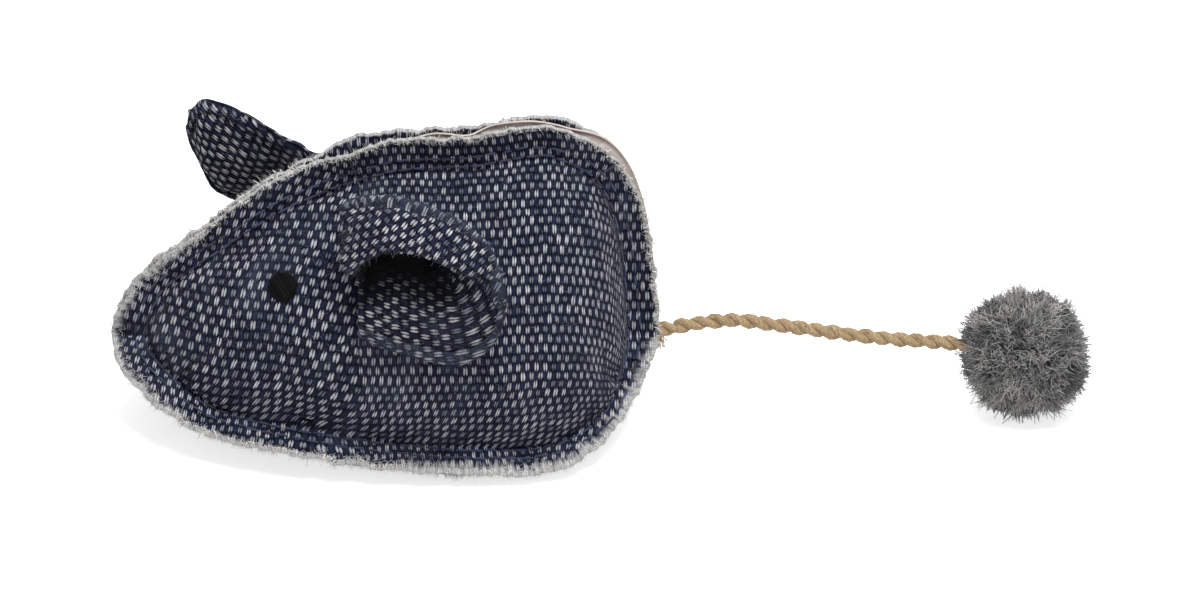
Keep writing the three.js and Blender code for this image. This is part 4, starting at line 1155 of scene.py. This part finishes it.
def left_ear(along, across):
    """The near ear: it lies back on the panel, with its upper brim rolled over a deep hollow."""
    even = 2 * across - 1
    place = even + (profile(FOLD_ACROSS, across) - even) * profile(BRIM_FOLDS, along)
    top, bottom = EAR_RISE * profile(EAR_UPPER, along), -EAR_DROP * profile(EAR_LOWER, along)
    up = bottom + (top - bottom) * (place + 1) / 2
    up = up + profile(LIP_RAISE, along) * between(across, 0.42, 0.66, 0.76, 0.97)
    brim = smoothstep(across, 0.3, 0.62)
    lobe = BRIM_LOBE * profile(BRIM_LOBES, along) * smoothstep(across, 0.5, 0.8)
    ahead = EAR_REACH * profile(EAR_ALONG, along) - lobe
    follow = 1 + ((1 - brim) / 2 - 1) * np.minimum(along / 0.2, 1)
    ground = np.maximum(panel_height(ahead, up * follow), panel_height(ahead, up))
    rest = 2 * EAR_LAYER + 4 * GAP
    stand = rest + (BRIM_FOOT - rest) * brim * (1 - np.minimum(along / 0.1, 1))
    rise = BRIM_HEIGHT * profile(BRIM_HEIGHTS, along) * profile(FOLD_HEIGHT, across)
    out = ground + stand + TIP_LIFT * along ** 2 + rise
    ahead_axis = np.array([1.0, 0, 0])
    return ear_origin + ahead_axis * ahead[..., None] + ear_up * up[..., None] + ear_out * out[..., None]


def right_ear(along, across):
    """The far ear: folded lengthwise, pointing up and forward."""
    scale = np.array([-RIGHT_REACH, RIGHT_SPAN, RIGHT_SPAN])
    lower, upper = (ear_origin * MIRROR + scale * profile(edge, along) for edge in (RIGHT_LOWER, RIGHT_UPPER))
    width = upper - lower
    bulge = unit(np.cross([1.0, 0, 0], width))
    curl = RIGHT_CURL * profile(RIGHT_CURLS, along) * np.sin(np.pi * across)
    return lower + width * (1 - across)[..., None] + bulge * curl[..., None]


def turned(p, q, angle, close):
    """Distances on the cloth across its warp and along it."""
    return ((q * np.cos(angle) - p * np.sin(angle)) * close[0],
            (p * np.cos(angle) + q * np.sin(angle)) * close[1])


def left_cloth_map(points, across):
    """Distances on the near ear's cloth, laid out as seen from the front and above."""
    p = points[..., 0] - ROLL_END[0]
    q = points[..., 2] * math.cos(ELEVATION) + points[..., 1] * math.sin(ELEVATION) - ROLL_END[1]
    around = np.degrees(np.arctan2(q, p))
    rolled = np.where(around < -120, around + 360, around)
    open_side = np.where(around > 90, around - 360, around)
    angle = np.radians(np.interp(np.where(across > 0.64, rolled, open_side), AROUND_END, WARP_AROUND_END))
    return turned(p, q, angle, LEFT_CLOSE)


def right_cloth_map(points, _):
    """Distances on the far ear's cloth, along from its base and across."""
    p, q = run_along(points, 0), run_along(points, 1)
    return turned(p.mean(axis=1, keepdims=True) + 0 * p, q - q[:, -1:] * 0.35, RIGHT_TURN, RIGHT_CLOSE)


def left_painted_shade(along, across):
    """Painted shade on the near ear: a little over its floor, and up to 1 in the fold under the brim where no
    light comes; 0 in the open.
    """
    floor = 1 - smoothstep(across, 0.655, 0.7)
    under = smoothstep(across, 0.14, 0.36) * floor
    return np.maximum(0.3 * floor, under * between(along, 0.0, 0.1, 0.5, 0.82))


# The far ear gets no painted shade
def right_painted_shade(along, _):
    return np.zeros_like(along)


def resample_grid(values, along, across):
    """Bilinear look-up in a grid over the unit square."""
    rows, columns = values.shape[:2]
    r, c = along * (rows - 1), across * (columns - 1)
    r0, c0 = np.minimum(r.astype(int), rows - 2), np.minimum(c.astype(int), columns - 2)
    fr, fc = r - r0, c - c0
    if values.ndim == 3:
        fr, fc = fr[..., None], fc[..., None]
    return ((values[r0, c0] * (1 - fc) + values[r0, c0 + 1] * fc) * (1 - fr)
            + (values[r0 + 1, c0] * (1 - fc) + values[r0 + 1, c0 + 1] * fc) * fr)


def ear_layer(top, under, u, v, shade):
    weave = np.stack([u.ravel(), v.ravel()], axis=1) / [WARP_PITCH, WEFT_PITCH]
    # The edge map's first value carries the painted shade
    edge_map = np.tile(np.stack([shade.ravel(), u.ravel()], axis=1), (2, 1))
    # The under side shows another stretch of the cloth
    return (*slab(top, under), {"weave": np.concatenate([weave, weave + 40.5]), "edge": edge_map})


def ear_parts(at, cloth_map, shade, first_across, soft_low_side, seed=81, rows=150, columns=176):
    """Both layers of an ear and its nap; the back layer rolls round the rim to meet the front one."""
    def rounded(share):
        return np.sqrt(np.clip(1 - (1 - share) ** 2, 0, 1))

    def cloth(u, v):
        return (weave_height(u, v) - 0.5) * EAR_RELIEF, 0.22 * Waves(seed, 6.0)(u, v)

    along, across = np.meshgrid(np.linspace(0, 1, rows), np.linspace(0, 1, columns), indexing="ij")
    full = at(along, across)
    normal = -grid_normals(full)
    normal[0] = normal[1]
    for _ in range(3):
        normal[1:-1] = (normal[:-2] + 2 * normal[1:-1] + normal[2:]) / 4
    normal = unit(normal)
    u, v = cloth_map(full, across)
    height, uneven = cloth(u, v)
    p, q = run_along(full, 0), run_along(full, 1)
    to_rim = np.minimum(np.minimum(q, q[:, -1:] - q), p[-1:] - p)
    low_side = smoothstep(q, 0.0, 5.0) if soft_low_side else 1.0
    # Back layer: rolled rim, then flat under the front layer
    rolled = 1.05 - 1.25 * rounded(np.clip(to_rim / EAR_ROLL, 0, 1) * 1.6) * (0.35 + 0.65 * low_side)
    inside = smoothstep(to_rim, EAR_ROLL * 0.72, EAR_ROLL * 1.05)
    near = rolled * (1 - inside) + (EAR_LAYER + GAP) * inside
    far = 1.15 + (2 * EAR_LAYER + GAP - 1.15) * rounded(np.clip(to_rim / 1.3, 0, 1))
    outer = full - normal * (near - height * (1 - inside) - uneven)[..., None]
    inner = full - normal * (far + height * 0.8 - uneven)[..., None]
    # Painted shade for this layer; no nap grows where it is dark
    dark = shade(along, across)
    back = ear_layer(outer, inner, u, v, dark)
    hair = nap(full, normal, 1800, seed + 60, dark > 0.5)
    # Front layer: inside the roll, its edge tucked down
    along, across = np.meshgrid(np.linspace(0, 0.925, rows), np.linspace(first_across, 0.925, columns),
                                indexing="ij")
    points, normal, u, v, rim = (resample_grid(values, along, across)
                                 for values in (full, normal, u, v, to_rim))
    tuck = np.exp(-np.clip(rim - EAR_ROLL * 0.85, 0, 9) / 0.55)
    relief, lift = cloth(u, v)
    top = points - normal * (0.75 * tuck - relief * (1 - tuck) - lift - 0.06)[..., None]
    under = points - normal * (EAR_LAYER - lift)[..., None]
    return {"back": back, "front": ear_layer(top, under, u, v, shade(along, across))}, hair


for side, ear in (("left", (left_ear, left_cloth_map, left_painted_shade, 0.0225, True)),
                  ("right", (right_ear, right_cloth_map, right_painted_shade, 0.075, False))):
    layers, hair = ear_parts(*ear)
    make_piece("ear_nap_" + side, hair, nap_hair, "ear_" + side)
    for label, part in layers.items():
        name = side + "_" + label
        make_piece("woven_ear_" + name, part, ear_cloth[name], "ear_" + side, "ear_" + name)


# Suede strip in the spine seam

def suede_strip(rows=260, columns=8, half_thickness=0.3, root=1.0):
    along = np.linspace(0.52, 0.965, rows)
    x, spine, _, _, _ = station(along)
    on_spine = np.ones(rows, bool)
    out = allowance_direction(along, on_spine)
    proud = -0.2 + 0.22 * Waves(91, 14.0, 1)(x) + 0.9 * hill(x, 36.5, 4.0)
    proud = proud - 1.6 * (1 - smoothstep(x, x[0], x[0] + 7)) - 1.4 * smoothstep(along, 0.93, 0.965)
    t = np.linspace(0, 1, columns)
    reach = root + (allowance_width(along, on_spine) + proud - root)[:, None] * t
    sheet = np.stack([x, np.zeros(rows), spine], axis=-1)[:, None] + out[:, None] * reach[..., None]
    sheet[..., 1] += 0.5 * Waves(92, 11.0, 1)(x)[:, None] * t ** 2
    half = np.array([0, half_thickness, 0])
    points, faces = slab(sheet - half, sheet + half)
    return points, [group[:, ::-1] for group in faces], {}


make_piece("suede_strip", suede_strip(), suede, "body", "spine_tape")


# Eyes: a dome of satin stitches

def eye(step=1e-3, count=27, steps=11, floss=0.14):
    up = unit(side_point(EYE_ALONG, EYE_ARC - step)[0] - side_point(EYE_ALONG, EYE_ARC + step)[0])
    ahead = side_point(EYE_ALONG + step, EYE_ARC)[0] - side_point(EYE_ALONG - step, EYE_ARC)[0]
    out = unit(np.cross(ahead, up))
    right = np.cross(up, out)
    own = np.random.default_rng(400)
    parts = []
    for angle, high in ((0.25, 0.25), (1.45, 0.45), (0.55, 0.62)):
        offset = np.linspace(-0.95, 0.95, count) + own.normal(0, 0.012, count)
        half = np.sqrt(1 - offset ** 2) * (1 + own.normal(0, 0.06, count))
        a, b = np.broadcast_arrays(offset[:, None], half[:, None] * np.linspace(-1, 1, steps))
        px = (a * math.cos(angle) - b * math.sin(angle)) * EYE_RADII[0]
        py = (a * math.sin(angle) + b * math.cos(angle)) * EYE_RADII[1]
        pz = high * np.sqrt(np.clip(1.02 - (a ** 2 + b ** 2), 0, 1)) + own.normal(0, 0.03, (count, 1)) + 0.12
        paths = (side_point(EYE_ALONG, EYE_ARC)[0] + right * px[..., None] + up * py[..., None]
                 + out * pz[..., None])
        parts.append(threads(paths, floss, 6, chances(own, count)))
    return join(parts)


for side, part in (("left", eye()), ("right", mirrored(eye()))):
    make_piece("stitched_eye_" + side, part, black_thread, "body", "eye_" + side)


# End of the twine inside the rump, knotted, with a tuft of its fibres below the seam

def tail_root(end=TAIL_PIVOT[0] + 1.55, span=15.0, steps=90):
    sag = 0.12 * np.sin(np.linspace(0, 4, steps)) * np.linspace(1, 0, steps)
    path = np.stack([np.linspace(end - span, end, steps), np.zeros(steps), RUMP_HEIGHT + sag], axis=1)
    knot, knot_faces = core_ball(np.array([end - span - 0.4, 0, RUMP_HEIGHT]), 2.7, 20, 28, 12)
    knot_layers = {"thread": knot[:, :2] * [1, 3]}
    own = np.random.default_rng(22)
    count = 46
    start = [own.uniform(48.6, 50.4, count), own.normal(-0.9, 0.35, count), np.full(count, RUMP_HEIGHT - 0.8)]
    lean = [own.normal(0.12, 0.18, count), own.normal(-0.2, 0.2, count), np.full(count, -1.0)]
    frayed = hairs(np.stack(start, axis=1), unit(np.stack(lean, axis=1)), own.uniform(1.6, 3.2, count),
                   TWINE_END, 23, 0.3, 5, 4)
    plies = rope(path, span, 21, phase=-2 * math.pi * span / PLY_PITCH)
    return join(plies + [(knot, knot_faces, knot_layers), frayed])


make_piece("tail_root_twine", tail_root(), twine, "body", "tail_root")


# Filling and catnip: the plain solids again, made loose and lumpy

def lumpy(node_name, name, material, size, depth, cuts=2):
    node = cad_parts[node_name]
    mesh = node.data.copy()
    mesh.name = name
    mesh.materials.clear()
    mesh.materials.append(material)
    piece = bpy.data.objects.new(name, mesh)
    bpy.context.scene.collection.objects.link(piece)
    piece.matrix_world = node.matrix_world.copy()
    divide = piece.modifiers.new("finer", "SUBSURF")
    divide.subdivision_type = "SIMPLE"
    divide.levels = divide.render_levels = cuts
    push = piece.modifiers.new("lumps", "DISPLACE")
    push.texture = bpy.data.textures.new(name + "_lumps", "CLOUDS")
    push.texture.noise_scale = size * MM
    push.strength = -depth * MM
    push.mid_level = 0.0
    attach(piece, "body")
    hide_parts(node_name)


lumpy("filling_front", "loose_filling_front", filling, 3.0, 1.4)
lumpy("filling_rear", "loose_filling_rear", filling, 3.0, 1.4)
lumpy("catnip_sachet", "catnip_pad", herb, 1.6, 0.5)


# Floor, light and view

def add_floor():
    corners = [(x * FLOOR_HALF * MM, y * FLOOR_HALF * MM, 0) for x, y in ((-1, -1), (1, -1), (1, 1), (-1, 1))]
    mesh = bpy.data.meshes.new("studio_floor")
    mesh.from_pydata(corners, [], [(0, 1, 2, 3)])
    mesh.materials.append(floor_material())
    floor = bpy.data.objects.new("studio_floor", mesh)
    bpy.context.scene.collection.objects.link(floor)
    floor.location = (0, 0, -FLOOR_DROP * MM)


def area_light(name, place, size, power, aim=(0.02, 0, 0.03)):
    """A round lamp; places and sizes in metres."""
    data = bpy.data.lights.new(name, "AREA")
    data.shape = "DISK"
    data.size = size
    data.energy = power
    light = bpy.data.objects.new(name, data)
    bpy.context.scene.collection.objects.link(light)
    light.location = place
    look_at(light, aim)


add_floor()
area_light("key_light", (0.16, -0.24, 0.95), 0.45, 10.0)
area_light("fill_light", (0.3, -1.0, 0.35), 0.9, 1.5)
area_light("back_light", (0.1, 0.8, 0.7), 0.8, 2.4)

world = bpy.data.worlds.new("studio_world")
world.use_nodes = True
background = world.node_tree.nodes["Background"]
background.inputs["Color"].default_value = (1, 1, 1, 1)
background.inputs["Strength"].default_value = 0.3
bpy.context.scene.world = world
bpy.context.scene.view_settings.view_transform = "Standard"
